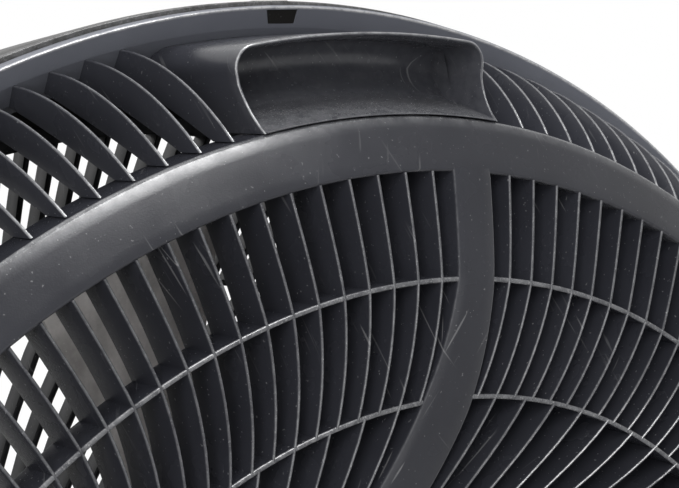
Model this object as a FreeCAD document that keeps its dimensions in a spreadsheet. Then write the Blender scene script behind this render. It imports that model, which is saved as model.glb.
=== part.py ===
import FreeCAD, Part
import Sketcher
import math
import os

# Floor fan with a tilting drum head, millimetres, front facing -Y, floor at Z zero.
# Head pieces are drawn about the fan axis with Y zero in the plane of the band's outer edge.

doc = FreeCAD.newDocument("floor_fan")
sheet = doc.addObject("Spreadsheet::Sheet", "Sizes")

sizes = {
    # whole fan
    "axis_height": 318, "band_plane": 68, "running_gap": 0.05, "seat_gap": 0.3,
    # rear rim
    "lip_radius": 270.7, "lip_depth": 41.6, "lip_round": 0.7, "lip_front": 47,
    "funnel_radius": 264.5, "funnel_depth": 45.6, "throat_radius": 258.8, "throat_depth": 51.2,
    "orifice_radius": 255.6, "orifice_start": 58, "orifice_end": 72, "orifice_wall": 2.6,
    "spigot_radius": 267, "spigot_wall": 2.8, "spigot_root": 53, "spigot_end": 62,
    "window_half": 5.1, "window_low": 266.3, "window_high": 269.8, "clip_count": 6,
    # side vanes
    "vane_count": 150, "vane_thick": 1.2, "vane_phase": 0.4, "handle_vanes": 5,
    "bow_radius": 256.4, "bow_depth": 20.3, "vane_low": 1.5, "vane_front": 14,
    # rear grille
    "band_radius": 240, "band_inner": 225.5, "second_ring": 196.7, "third_ring": 165,
    "fourth_ring": 122, "hub_radius": 78, "ring_thick": 1.6, "grille_deep": 12,
    "band_rise": 7.4, "second_rise": 12.9, "third_rise": 14.3, "fourth_rise": 15.4, "hub_rise": 16,
    "spoke_outer": 13.8, "spoke_second": 13.4, "spoke_third": 16.4, "spoke_hub": 11,
    "third_count": 90, "hub_count": 60, "spoke_count": 5, "spoke_angle": 6,
    "swirl_start": 225.5, "swirl_end": 142, "swirl_gain": 7.1, "swirl_power": 3.5,
    "plate_radius": 72, "plate_rear": 8, "plate_front": 2,
    "post_circle": 54, "post_radius": 4.5, "post_top": 31.2, "lead_hole": 7, "lead_circle": 28,
    # carry handle
    "handle_angle": 19.2, "roof_radius": 262.3, "roof_rear": 8, "roof_thick": 1.7, "roof_round": 6.5,
    "edge_radius": 253, "edge_depth": 7.2, "scoop_bow_radius": 247.6, "scoop_bow_depth": 4.3,
    "crease_rise": 0.3, "shelf_radius": 244, "shelf_depth": 17, "pocket_bow_radius": 246.3,
    "pocket_bow_depth": 24, "pocket_turn": 252, "pocket_depth": 27.5,
    "roof_front": 47.4, "scoop_toe": 50.35, "scoop_toe_radius": 259.3, "shelf_start": 6,
    "pocket_angle": 18.4, "scoop_bottom": 23, "scoop_front_radius": 249, "scoop_front": 31,
    "pocket_round": 4.8,
    # front shell and front grille
    "drum_radius": 272.1, "drum_start": 48.2, "drum_end": 52, "drum_wall": 2.8,
    "shoulder_radius": 268.4, "shoulder_depth": 88, "corner_radius": 263, "corner_depth": 106.5,
    "brow_radius": 252.5, "brow_depth": 121.5, "mouth_radius": 238.5, "mouth_depth": 135, "mouth_wall": 3,
    "flange_end": 70, "inner_shoulder_radius": 265.6, "inner_shoulder_depth": 87.6,
    "inner_corner_radius": 260.6, "inner_corner_depth": 105.1, "inner_brow_radius": 250.5,
    "inner_brow_depth": 119.5, "clip_half": 6.25, "clip_proud": 0.4, "clip_end": 58,
    "tongue_half": 4.6, "tongue_low": 268, "tongue_high": 269.4, "tongue_rear": 46.6,
    "boss_radius": 19, "boss_inner": 267.4, "boss_face": 286, "boss_hole": 6.45, "boss_floor": 270.5,
    "front_rim": 6, "front_ring": 184, "front_hub": 93, "front_hub_wall": 3, "front_rear": 133,
    "front_face": 139, "front_vane": 2, "outer_turn": 0.4, "outer_phase": 0.77,
    "inner_count": 75, "inner_turn": 0.82, "inner_phase": -1.92, "turn_radius": 200,
    "cap_front": 150, "cap_middle": 45, "cap_crown": 149, "cap_rear": 130.4, "cap_lap": 2.4,
    "cap_wall": 3, "cap_edge": 146,
    # motor
    "motor_radius": 62, "motor_wall": 3, "motor_join": 34, "motor_front": 70, "motor_edge": 2,
    "bearing_radius": 11, "bearing_long": 10, "bearing_rear": 5, "bearing_front": 66,
    "boss_wall": 3, "shaft_hole": 5, "shaft_radius": 4, "shaft_rear": 3, "shaft_front": 122,
    "core_rear": 20, "core_front": 48, "core_bore": 34, "air_gap": 0.4,
    "winding_inner": 37, "winding_outer": 55, "winding_rear": 9, "winding_front": 59,
    "screw_circle": 46, "screw_offset": 32.527, "bell_cut": 8, "screw_count": 4, "screw_radius": 2,
    "screw_head": 4.5, "head_high": 3, "screw_reach": 4,
    # switch housing at the rear
    "case_radius": 69.5, "case_step": 15, "case_top_radius": 64, "case_top": 34.5, "case_wall": 3,
    "case_edge": 2, "case_screws": 3, "case_screw_radius": 1.5, "case_screw_head": 3.5, "case_screw_end": 20,
    "case_head_high": 2.4, "bush_radius": 6, "bush_hole": 6.2, "bush_top": 38.5,
    "switch_wide": 26, "switch_half": 13, "switch_rear": 31.3, "switch_deep": 15,
    "nut_across": 16, "nut_high": 2.8,
    "spindle_radius": 3, "spindle_front": 20, "spindle_top": 52,
    "knob_skirt": 26, "knob_skirt_rear": 36.8, "knob_skirt_top": 40.5, "knob_grip": 17,
    "knob_top": 58, "knob_cavity": 22, "knob_cavity_top": 41, "knob_edge": 1.5, "grip_half": 4.5,
    "grip_reach": 24, "grip_high": 54,
    "capacitor_wide": 40, "capacitor_half": 20, "capacitor_deep": 17, "capacitor_high": 14,
    "capacitor_rise": 24,
    "gland_drop": 40, "gland_neck": 5, "gland_bore": 3.5, "gland_flange": 8, "gland_thick": 2.5,
    "gland_front": 30, "gland_edge": 1.2,
    # blade
    "blade_count": 5, "blade_radius": 216, "blade_hub": 56, "blade_hub_wall": 3, "blade_hub_rear": 80,
    "blade_hub_front": 116, "blade_bore_wall": 8, "blade_thick": 2.6, "blade_middle": 97,
    "blade_turn": 6, "root_radius": 50, "middle_radius": 150, "tip_radius": 222,
    "nut_radius": 13, "nut_front": 128, "nut_dome": 124, "nut_crown": 9,
    # stand
    "side_inner": 288, "side_thick": 14, "side_half": 7, "side_top": 28, "side_waist": 46, "waist_height": 90,
    "sweep_out": 61, "sweep_height": 53, "toe_start": 104, "toe_height": 38, "toe_end": 130,
    "toe_bow": 143.5, "toe_bow_height": 32.5, "foot_reach": 146, "toe_tip": 22, "side_base": 6,
    "arch_out": 92, "arch_in": 82, "arch_height": 12, "panel_deep": 8, "panel_top": 14,
    "panel_high": 280, "panel_foot": 35, "panel_low": 62,
    "beam_half": 32, "beam_low": 10, "beam_high": 32, "beam_wall": 4, "beam_end": 12,
    "beam_screw_out": 22, "beam_screw_height": 20, "beam_screw_radius": 2.4, "beam_screw_hole": 2.6,
    "beam_screw_reach": 10, "pad_radius": 9, "pad_stem": 3, "pad_stem_high": 8, "pad_out": 120,
    # tilt knobs
    "washer_bore": 4.3, "washer_radius": 18, "stud_radius": 4, "stud_inner": 272, "stud_outer": 316,
    "tilt_knob_radius": 20, "tilt_knob_inner": 302.3, "tilt_knob_outer": 325, "tilt_knob_neck": 12,
    "tilt_neck_end": 307, "tilt_knob_round": 3, "lobe_count": 6, "lobe_radius": 7, "lobe_out": 23,
    "insert_wall": 2.35, "insert_outer": 285.7,
}
for row, (word, amount) in enumerate(sizes.items(), start=1):
    cell = "B" + str(row)
    sheet.set("A" + str(row), word)
    sheet.set(cell, str(amount))
    sheet.setAlias(cell, word)
doc.recompute()

X = FreeCAD.Vector(1, 0, 0)
Y = FreeCAD.Vector(0, 1, 0)
Z = FreeCAD.Vector(0, 0, 1)
centre = FreeCAD.Vector(0, 0, 0)
full_turn = 360
half_turn = 180


def size(word):
    return float(sheet.get(word))


def measure(text):
    # the sum written in words, such as "lip_radius - lip_round"
    total = 0.0
    sign = 1
    for word in text.split():
        if word in "+-":
            sign = -1 if word == "-" else 1
        elif word != "0":
            total += sign * size(word)
            sign = 1
    return total


def bound(text):
    # the same sum as an expression on the sheet
    return " ".join(word if word in "+-" else "Sizes." + word for word in text.split())


def place(item, across="0", along="0", up="0"):
    for letter, text in zip("xyz", (across, along, up)):
        if text != "0":
            item.setExpression("Placement.Base." + letter, bound(text))


def in_head(item):
    place(item, along="band_plane", up="axis_height")


def at_pivot(item):
    place(item, up="axis_height")


def node(label):
    body = doc.addObject("PartDesign::Body", label)
    body.Label = label
    return body


def draw_on(body, role, name, lift=None):
    sketch = body.newObject("Sketcher::SketchObject", name)
    plane = [item for item in body.Origin.OriginFeatures if item.Role == role][0]
    sketch.AttachmentSupport = [(plane, "")]
    sketch.MapMode = "FlatFace"
    if lift:
        sketch.setExpression("AttachmentOffset.Base.z", bound(lift))
    return sketch


def pin_down(sketch, piece, corner, across, up):
    # holds one sketch point at its two distances from the sketch origin
    for kind, axis_line, text in (("DistanceX", -2, across), ("DistanceY", -1, up)):
        if text == "0":
            sketch.addConstraint(Sketcher.Constraint("PointOnObject", piece, corner, axis_line))
        else:
            rule = Sketcher.Constraint(kind, -1, 1, piece, corner, measure(text))
            number = sketch.addConstraint(rule)
            sketch.setExpression("Constraints[" + str(number) + "]", bound(text))


def outline(sketch, corners):
    # a closed line through the corners; a corner with four entries starts an arc by way of a point
    spots = [FreeCAD.Vector(measure(c[0]), measure(c[1]), 0) for c in corners]
    ends = []
    for number, corner in enumerate(corners):
        start = spots[number]
        finish = spots[(number + 1) % len(corners)]
        if len(corner) == 2:
            piece = sketch.addGeometry(Part.LineSegment(start, finish), False)
            ends.append((piece, 1, 2))
            continue
        way = FreeCAD.Vector(measure(corner[2]), measure(corner[3]), 0)
        piece = sketch.addGeometry(Part.ArcOfCircle(start, way, finish), False)
        forward = sketch.getPoint(piece, 1).distanceToPoint(start) < start.distanceToPoint(finish) / 2
        ends.append((piece, 1, 2) if forward else (piece, 2, 1))
        mark = sketch.addGeometry(Part.Point(way), True)
        sketch.addConstraint(Sketcher.Constraint("PointOnObject", mark, 1, piece))
        pin_down(sketch, mark, 1, corner[2], corner[3])
    for number, corner in enumerate(corners):
        piece, first, last = ends[number]
        before, unused, joined = ends[number - 1]
        sketch.addConstraint(Sketcher.Constraint("Coincident", before, joined, piece, first))
        pin_down(sketch, piece, first, corner[0], corner[1])


def circle(sketch, across, up, radius):
    spot = FreeCAD.Vector(measure(across), measure(up), 0)
    piece = sketch.addGeometry(Part.Circle(spot, Z, measure(radius)), False)
    pin_down(sketch, piece, 3, across, up)
    number = sketch.addConstraint(Sketcher.Constraint("Radius", piece, measure(radius)))
    sketch.setExpression("Constraints[" + str(number) + "]", bound(radius))


def turned(body, corners, role="XY_Plane", axis="V_Axis"):
    sketch = draw_on(body, role, body.Name + "_section")
    outline(sketch, corners)
    feature = body.newObject("PartDesign::Revolution", body.Name + "_turned")
    feature.Profile = sketch
    feature.ReferenceAxis = (sketch, [axis])
    feature.Angle = full_turn
    sketch.Visibility = False
    doc.recompute()
    return feature


def cut_through(body, role, name, draw, both=True):
    sketch = draw_on(body, role, name)
    draw(sketch)
    feature = body.newObject("PartDesign::Pocket", name + "_cut")
    feature.Profile = sketch
    feature.Type = 1
    feature.Midplane = both
    doc.recompute()
    return feature


def repeat(body, feature, count, plane_axis="Y_Axis"):
    pattern = body.newObject("PartDesign::PolarPattern", feature.Name + "_around")
    pattern.Originals = [feature]
    axis = [item for item in body.Origin.OriginFeatures if item.Role == plane_axis][0]
    pattern.Axis = (axis, [""])
    pattern.Angle = full_turn
    body.Tip = pattern
    pattern.setExpression("Occurrences", bound(count))
    doc.recompute()
    return pattern


def plain(label, shape, across=0, along=0, up=0):
    # a node made with Part functions, set in the fan by its placement
    item = doc.addObject("Part::Feature", label)
    item.Label = label
    item.Shape = shape
    item.Placement = FreeCAD.Placement(FreeCAD.Vector(across, along, up), FreeCAD.Rotation())
    return item


def rod(name, radius, long, direction, across="0", along="0", up="0"):
    # a cylinder whose base centre and size follow the sheet
    item = doc.addObject("Part::Cylinder", name)
    item.setExpression("Radius", bound(radius))
    item.setExpression("Height", bound(long))
    item.Placement.Rotation = FreeCAD.Rotation(Z, direction)
    place(item, across, along, up)
    return item


def block(name, wide, deep, high, across, along, up):
    item = doc.addObject("Part::Box", name)
    for side, text in zip(("Length", "Width", "Height"), (wide, deep, high)):
        item.setExpression(side, bound(text))
    place(item, across, along, up)
    return item


def joined(name, items):
    item = doc.addObject("Part::MultiFuse", name)
    item.Label = name
    item.Shapes = items
    return item


def minus(name, base, tool):
    item = doc.addObject("Part::Cut", name)
    item.Label = name
    item.Base = base
    item.Tool = tool
    return item


def tube(radius, bore, long, start, direction):
    outer = Part.makeCylinder(radius, long, start, direction)
    return outer.cut(Part.makeCylinder(bore, long, start, direction))


def around(shape, angles, axis=Y):
    # one copy of the shape at each angle about the fan axis
    return [shape.rotated(centre, axis, angle) for angle in angles]


def shares_of_turn(count, first=0.0):
    return [first + full_turn * step / count for step in range(int(count))]


nodes = []

# Rear rim: lip, funnel under the side vanes, orifice around the blade, spigot for the front shell
rear_rim = node("rear_rim")
turned(rear_rim, [
    ("lip_radius", "- lip_depth - lip_round"),
    ("lip_radius - lip_round", "- lip_depth"),
    ("funnel_radius", "- funnel_depth"),
    ("throat_radius", "- throat_depth"),
    ("orifice_radius", "- orifice_start"),
    ("orifice_radius", "- orifice_end"),
    ("orifice_radius + orifice_wall", "- orifice_end"),
    ("orifice_radius + orifice_wall", "- orifice_start"),
    ("throat_radius + orifice_wall", "- spigot_root"),
    ("spigot_radius - spigot_wall", "- spigot_root"),
    ("spigot_radius - spigot_wall", "- spigot_end"),
    ("spigot_radius", "- spigot_end"),
    ("spigot_radius", "- lip_front"),
    ("lip_radius", "- lip_front"),
])


def window(sketch):
    outline(sketch, [
        ("- window_half", "window_low"), ("window_half", "window_low"),
        ("window_half", "window_high"), ("- window_half", "window_high")])


windows = cut_through(rear_rim, "XZ_Plane", "clip_window", window)
repeat(rear_rim, windows, "clip_count")
in_head(rear_rim)
nodes.append(rear_rim)


# Side vanes: flat radial plates with a bowed rear edge, left out behind the carry handle
def side_vane():
    half = size("vane_thick") / 2
    spots = {
        "rim": (size("funnel_radius"), -size("funnel_depth")),
        "bow": (size("bow_radius"), -size("bow_depth")),
        "band": (size("band_radius"), -size("vane_low")),
        "front": (size("band_radius"), -size("vane_front")),
        "throat": (size("throat_radius"), -size("throat_depth"))}
    at = {word: FreeCAD.Vector(-half, spot[1], spot[0]) for word, spot in spots.items()}
    edges = [Part.Arc(at["rim"], at["bow"], at["band"]).toShape()]
    for first, last in (("band", "front"), ("front", "throat"), ("throat", "rim")):
        edges.append(Part.makeLine(at[first], at[last]))
    return Part.Face(Part.Wire(edges)).extrude(X * (2 * half))


vane_steps = int(size("vane_count"))
skipped = int(size("handle_vanes"))
vane_angles = [full_turn * step / vane_steps - size("vane_phase")
               for step in range(skipped, vane_steps - skipped + 1)]
side_vanes = plain("side_vanes", Part.makeCompound(around(side_vane(), vane_angles)),
                   along=size("band_plane"), up=size("axis_height"))
nodes.append(side_vanes)


def spot_at(radius, angle, depth=0.0):
    # a point by radius and angle from the top, turning towards -X
    return FreeCAD.Vector(-radius * math.sin(angle), depth, radius * math.cos(angle))


def curve_through(first, way, last):
    # an arc, or a straight edge where the three points are nearly in line
    chord = last - first
    bend = chord.cross(way - first).Length / chord.Length
    flat = size("running_gap") / 2
    if bend < flat:
        return Part.makeLine(first, last)
    return Part.Arc(first, way, last).toShape()


def gap_between(left, right, inner, outer, course):
    # the opening between two neighbouring bars; a bar is its base angle and its width by radius
    middle = (inner + outer) / 2

    def side_of(bar, side, radius):
        turn, slope = course(radius)
        lean = math.hypot(1, slope)
        return bar[0] + turn + side * bar[1](radius) * lean / (2 * radius)

    one = [side_of(left, 1, radius) for radius in (inner, middle, outer)]
    two = [side_of(right, -1, radius) for radius in (inner, middle, outer)]
    radii = (inner, middle, outer)
    rising = [spot_at(radius, angle) for radius, angle in zip(radii, one)]
    falling = [spot_at(radius, angle) for radius, angle in zip(radii, two)]
    return Part.Wire([
        curve_through(*rising),
        curve_through(rising[2], spot_at(outer, (one[2] + two[2]) / 2), falling[2]),
        curve_through(*falling[::-1]),
        curve_through(falling[0], spot_at(inner, (one[0] + two[0]) / 2), rising[0])])


def openings(bars, inner, outer, course):
    bars = sorted(bars, key=lambda bar: bar[0])
    following = bars[1:] + [(bars[0][0] + math.tau, bars[0][1])]
    return [gap_between(left, right, inner, outer, course) for left, right in zip(bars, following)]


def ring_wire(radius, across=0.0, up=0.0):
    return Part.Wire(Part.makeCircle(radius, FreeCAD.Vector(across, 0, up), Y))


def pierced_face(edge, gaps):
    return Part.makeFace(Part.makeCompound([edge] + gaps), "Part::FaceMakerBullseye")


def rear_course(radius):
    # the turn of the rear vanes at a radius, and their slope against the radial line
    start = size("swirl_start")
    end = size("swirl_end")
    band = size("band_radius")
    held = max(radius, end)
    reach = max(start - held, 0.0) / band
    power = size("swirl_power")
    turn = size("swirl_gain") * reach ** power
    slope = size("swirl_gain") * power * reach ** (power - 1) * held / band
    return -turn - slope * math.log(held / radius), slope


def spoke_width(radius):
    steps = [("hub_radius", "spoke_hub"), ("third_ring", "spoke_third"),
             ("second_ring", "spoke_second"), ("band_inner", "spoke_outer")]
    for near, far in zip(steps, steps[1:]):
        low = size(near[0])
        high = size(far[0])
        if radius <= high or far is steps[-1]:
            share = (radius - low) / (high - low)
            return size(near[1]) + share * (size(far[1]) - size(near[1]))


def rear_bars(count, first, inner, outer):
    # the vanes of one zone with the wide spokes in place of the vanes that they cover
    pitch = full_turn / count
    middle = (inner + outer) / 2
    spokes = shares_of_turn(size("spoke_count"), size("spoke_angle"))
    lean = math.hypot(1, rear_course(middle)[1])
    cover = math.degrees(spoke_width(middle) * lean / (2 * middle)) + pitch / 3
    bars = [(math.radians(angle), spoke_width) for angle in spokes]
    for angle in shares_of_turn(count, first):
        away = min(abs((angle - spoke + half_turn) % full_turn - half_turn) for spoke in spokes)
        if away > cover:
            bars.append((math.radians(angle), lambda radius: size("vane_thick")))
    return bars


# Rear grille: band, rings, swirling vanes, wide spokes and the hub plate, in one moulding
half_ring = size("ring_thick") / 2
zones = [
    (size("second_ring") + half_ring, size("band_inner") - size("seat_gap"), size("vane_count"), 0.0),
    (size("third_ring") + half_ring, size("second_ring") - half_ring, size("vane_count"), 0.0),
    (size("fourth_ring") + half_ring, size("third_ring") - half_ring, size("third_count"), 0.0),
    (size("hub_radius") + size("seat_gap"), size("fourth_ring") - half_ring, size("hub_count"),
     half_turn / size("hub_count"))]
holes = []
for inner, outer, count, first in zones:
    holes += openings(rear_bars(count, first, inner, outer), inner, outer, rear_course)
screw_angles = shares_of_turn(size("screw_count"), full_turn / size("screw_count") / 2)
for angle in screw_angles:
    spot = spot_at(size("screw_circle"), math.radians(angle))
    holes.append(ring_wire(size("screw_radius") + size("seat_gap"), spot.x, spot.z))
holes.append(ring_wire(size("lead_hole"), 0.0, -size("lead_circle")))
rises = [("band_radius", None), ("band_inner", "band_rise"), ("second_ring", "second_rise"),
         ("third_ring", "third_rise"), ("fourth_ring", "fourth_rise"), ("hub_radius", "hub_rise")]
rear_line = [(size(radius), size(rise) if rise else 0.0) for radius, rise in rises]
front_line = [(radius, rise - size("grille_deep")) for radius, rise in rear_line]
plate = size("plate_radius")
section = rear_line + [
    (plate, size("hub_rise")), (plate, size("plate_rear")), (0.0, size("plate_rear")),
    (0.0, size("plate_front")), (size("hub_radius"), size("plate_front"))] + front_line[-2::-1]
corners = [FreeCAD.Vector(radius, rise, 0) for radius, rise in section + section[:1]]
dome = Part.Face(Part.makePolygon(corners)).revolve(centre, Y, full_turn)
deep = size("grille_deep") * 2
disc = pierced_face(ring_wire(size("band_radius") + size("grille_deep")), holes)
disc.translate(Y * -deep)
pierced = disc.extrude(Y * (2 * deep)).common(dome)
post_angles = shares_of_turn(size("case_screws"), half_turn / size("case_screws"))
post = tube(size("post_radius"), size("case_screw_radius") + size("running_gap"),
            size("post_top") - size("plate_rear"),
            FreeCAD.Vector(0, size("plate_rear"), size("post_circle")), Y)
pierced = pierced.fuse(around(post, post_angles)).Solids[0]
rear_grille = plain("rear_grille", pierced, along=size("band_plane"), up=size("axis_height"))
nodes.append(rear_grille)

# Carry handle: a scoop with a roof, two end walls and a curved shelf, open to the rear
handle_scoop = node("handle_scoop")
scoop = turned(handle_scoop, [
    ("crease_rise", "band_radius + seat_gap", "- scoop_bow_depth", "scoop_bow_radius"),
    ("- edge_depth", "edge_radius"),
    ("- roof_rear", "roof_radius"),
    ("- roof_front", "roof_radius"),
    ("- scoop_toe", "scoop_toe_radius"),
    ("- scoop_front", "scoop_front_radius"),
    ("- scoop_bottom", "band_radius + seat_gap"),
], "YZ_Plane", "H_Axis")
scoop.setExpression("Angle", bound("handle_angle"))
scoop.Midplane = True
sketch = draw_on(handle_scoop, "YZ_Plane", "pocket")
outline(sketch, [
    ("shelf_start", "band_radius + seat_gap + crease_rise"),
    ("crease_rise", "band_radius + seat_gap + crease_rise"),
    ("- shelf_depth", "shelf_radius", "- pocket_bow_depth", "pocket_bow_radius"),
    ("- pocket_depth", "pocket_turn"),
    ("- pocket_depth", "roof_radius - roof_thick"),
    ("shelf_start", "roof_radius - roof_thick")])
pocket = handle_scoop.newObject("PartDesign::Groove", "pocket_cut")
pocket.Profile = sketch
pocket.ReferenceAxis = (sketch, ["H_Axis"])
pocket.setExpression("Angle", bound("pocket_angle"))
pocket.Midplane = True
doc.recompute()


def long_edges(shape, radius):
    # the straight edges along the fan axis at one radius
    found = []
    for number, edge in enumerate(shape.Edges, start=1):
        ends = [vertex.Point for vertex in edge.Vertexes]
        if len(ends) == 2 and abs(ends[0].y - ends[1].y) > size("roof_round"):
            far = [abs(math.hypot(end.x, end.z) - radius) for end in ends]
            if max(far) < size("running_gap"):
                found.append("Edge" + str(number))
    return found


for word, radius, round_word in (("outer_round", size("roof_radius"), "roof_round"),
                                 ("inner_round", size("roof_radius") - size("roof_thick"), "pocket_round")):
    base = handle_scoop.Tip
    rounding = handle_scoop.newObject("PartDesign::Fillet", word)
    rounding.Base = (base, long_edges(base.Shape, radius))
    rounding.setExpression("Radius", bound(round_word))
    doc.recompute()
in_head(handle_scoop)
nodes.append(handle_scoop)

# Front shell: drum wall rolling in to the mouth, six clips through the rear rim, two pivot bosses
drum = node("drum")
turned(drum, [
    ("drum_radius", "- drum_start"),
    ("drum_radius", "- drum_end"),
    ("shoulder_radius", "- shoulder_depth", "corner_radius", "- corner_depth"),
    ("brow_radius", "- brow_depth"),
    ("mouth_radius", "- mouth_depth"),
    ("mouth_radius", "- mouth_depth + mouth_wall"),
    ("inner_brow_radius", "- inner_brow_depth", "inner_corner_radius", "- inner_corner_depth"),
    ("inner_shoulder_radius", "- inner_shoulder_depth"),
    ("spigot_radius + seat_gap", "- flange_end"),
    ("spigot_radius + seat_gap", "- drum_start"),
])
for word, half, low, high, rear in (
        ("clip", "clip_half", "drum_radius - drum_wall", "drum_radius + clip_proud", "drum_start"),
        ("tongue", "tongue_half", "tongue_low", "tongue_high", "tongue_rear")):
    sketch = draw_on(drum, "XZ_Plane", word, rear)
    outline(sketch, [("- " + half, low), (half, low), (half, high), ("- " + half, high)])
    grown = drum.newObject("PartDesign::Pad", word + "_pad")
    grown.Profile = sketch
    grown.setExpression("Length", bound("clip_end - " + rear))
    doc.recompute()
    repeat(drum, grown, "clip_count")
in_head(drum)
bosses = []
sockets = []
for word, direction, sign in (("right", X, ""), ("left", -X, "- ")):
    bosses.append(rod("boss_" + word, "boss_radius", "boss_face - boss_inner", direction,
                      sign + "boss_inner", up="axis_height"))
    sockets.append(rod("socket_" + word, "boss_hole", "boss_face - boss_floor", direction,
                       sign + "boss_floor", up="axis_height"))
shell = joined("drum_with_bosses", [drum] + bosses)
front_shell = minus("front_shell", shell, joined("insert_sockets", sockets))
nodes.append(front_shell)


# Front grille: a flat disc of swirling vanes in two zones
def front_course(turn):
    return lambda radius: (turn * math.log(radius / size("turn_radius")), turn)


rim = size("mouth_radius") - size("seat_gap")
half_ring = size("front_vane") / 2
front_zones = [
    (size("front_ring") + half_ring, rim - size("front_rim"), "vane_count", "outer_turn", "outer_phase"),
    (size("front_hub"), size("front_ring") - half_ring, "inner_count", "inner_turn", "inner_phase")]
holes = [ring_wire(size("front_hub") - size("front_hub_wall"))]
for inner, outer, count, turn, phase in front_zones:
    first = size(phase) + half_turn / size(count)
    bars = [(math.radians(angle), lambda radius: size("front_vane"))
            for angle in shares_of_turn(size(count), first)]
    holes += openings(bars, inner, outer, front_course(size(turn)))
disc = pierced_face(ring_wire(rim), holes)
disc.translate(Y * -size("front_face"))
front_grille = plain("front_grille", disc.extrude(Y * (size("front_face") - size("front_rear"))),
                     along=size("band_plane"), up=size("axis_height"))
nodes.append(front_grille)

# Front cap snapped into the middle of the front grille
front_cap = node("front_cap")
turned(front_cap, [
    ("0", "- cap_front", "cap_middle", "- cap_crown"),
    ("front_hub - front_hub_wall - seat_gap", "- cap_edge"),
    ("front_hub - front_hub_wall - seat_gap", "- front_rear + seat_gap"),
    ("front_hub - front_hub_wall + cap_lap", "- front_rear + seat_gap"),
    ("front_hub - front_hub_wall + cap_lap", "- cap_rear"),
    ("front_hub - front_hub_wall - seat_gap - cap_wall", "- cap_rear"),
    ("front_hub - front_hub_wall - seat_gap - cap_wall", "- cap_edge + cap_wall"),
    ("0", "- cap_front + cap_wall"),
])
in_head(front_cap)
nodes.append(front_cap)

# Motor shell in two bells, each with a bearing seat
rear_bell = node("motor_rear_bell")
turned(rear_bell, [
    ("shaft_hole", "plate_front"),
    ("motor_radius - motor_edge", "plate_front"),
    ("motor_radius", "plate_front - motor_edge"),
    ("motor_radius", "- motor_join"),
    ("motor_radius - motor_wall", "- motor_join"),
    ("motor_radius - motor_wall", "plate_front - motor_wall"),
    ("bearing_radius + running_gap + boss_wall", "plate_front - motor_wall"),
    ("bearing_radius + running_gap + boss_wall", "- bearing_rear - bearing_long"),
    ("bearing_radius + running_gap", "- bearing_rear - bearing_long"),
    ("bearing_radius + running_gap", "- bearing_rear"),
    ("shaft_hole", "- bearing_rear"),
])


def bell_screw(sketch):
    circle(sketch, "screw_offset", "screw_offset", "screw_radius + running_gap")


def bell_lead(sketch):
    circle(sketch, "0", "- lead_circle", "lead_hole")


for word, draw in (("bell_lead", bell_lead), ("bell_screw", bell_screw)):
    opening = cut_through(rear_bell, "XZ_Plane", word, draw)
    opening.Type = 0
    opening.setExpression("Length", bound("bell_cut"))
    doc.recompute()
repeat(rear_bell, opening, "screw_count")
in_head(rear_bell)
nodes.append(rear_bell)

front_bell = node("motor_front_bell")
turned(front_bell, [
    ("motor_radius", "- motor_join"),
    ("motor_radius - motor_wall", "- motor_join"),
    ("motor_radius - motor_wall", "- motor_front + motor_wall"),
    ("bearing_radius + running_gap + boss_wall", "- motor_front + motor_wall"),
    ("bearing_radius + running_gap + boss_wall", "- bearing_front + bearing_long"),
    ("bearing_radius + running_gap", "- bearing_front + bearing_long"),
    ("bearing_radius + running_gap", "- bearing_front"),
    ("shaft_hole", "- bearing_front"),
    ("shaft_hole", "- motor_front"),
    ("motor_radius - motor_edge", "- motor_front"),
    ("motor_radius", "- motor_front + motor_edge"),
])
in_head(front_bell)
nodes.append(front_bell)


def ring_piece(label, bore, radius, front, rear):
    # a plain ring about the fan axis, from its front depth to its rear depth
    body = node(label)
    turned(body, [(bore, front), (radius, front), (radius, rear), (bore, rear)])
    in_head(body)
    nodes.append(body)


ring_piece("stator_core", "core_bore", "motor_radius - motor_wall - seat_gap", "- core_front", "- core_rear")
ring_piece("motor_rotor", "shaft_radius + running_gap", "core_bore - air_gap", "- core_front", "- core_rear")


def head_group(label, shapes):
    nodes.append(plain(label, Part.makeCompound(shapes), along=size("band_plane"), up=size("axis_height")))


# Windings bulge from both ends of the core
winding_spans = [(size("core_rear") - size("seat_gap"), size("winding_rear")),
                 (size("winding_front"), size("core_front") + size("seat_gap"))]
head_group("stator_windings", [
    tube(size("winding_outer"), size("winding_inner"), front - rear, Y * -front, Y)
    for front, rear in winding_spans])
bearing_fronts = [size("bearing_rear") + size("bearing_long"), size("bearing_front")]
bearing_bore = size("shaft_radius") + size("running_gap")
head_group("motor_bearings", [
    tube(size("bearing_radius"), bearing_bore, size("bearing_long"), Y * -front, Y)
    for front in bearing_fronts])

motor_shaft = node("motor_shaft")
turned(motor_shaft, [("0", "- shaft_front"), ("shaft_radius", "- shaft_front"),
                     ("shaft_radius", "- shaft_rear"), ("0", "- shaft_rear")])
in_head(motor_shaft)
nodes.append(motor_shaft)


def screw(radius, head_radius, head_high, long, start, direction):
    # a round head standing on its seat, with the shank running back from it
    head = Part.makeCylinder(head_radius, head_high, start, direction)
    round_size = head_high / 3
    rounded = [edge for edge in head.Edges if len(edge.Vertexes) == 1
               and abs((edge.Vertexes[0].Point - start).dot(direction) - head_high) < round_size]
    head = head.makeFillet(round_size, rounded)
    slot_wide = radius / 2
    slot = Part.makeBox(slot_wide, slot_wide, 2 * head_radius)
    slot.translate(FreeCAD.Vector(-slot_wide / 2, -slot_wide / 2, -head_radius))
    slot.translate(start + direction * head_high)
    shank = Part.makeCylinder(radius, long, start, direction * -1)
    return head.cut(slot).fuse(shank)


plate_screw = screw(size("screw_radius"), size("screw_head"), size("head_high"),
                    size("plate_rear") + size("screw_reach"),
                    FreeCAD.Vector(0, size("plate_rear"), size("screw_circle")), Y)
head_group("motor_screws", around(plate_screw, screw_angles))

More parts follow.
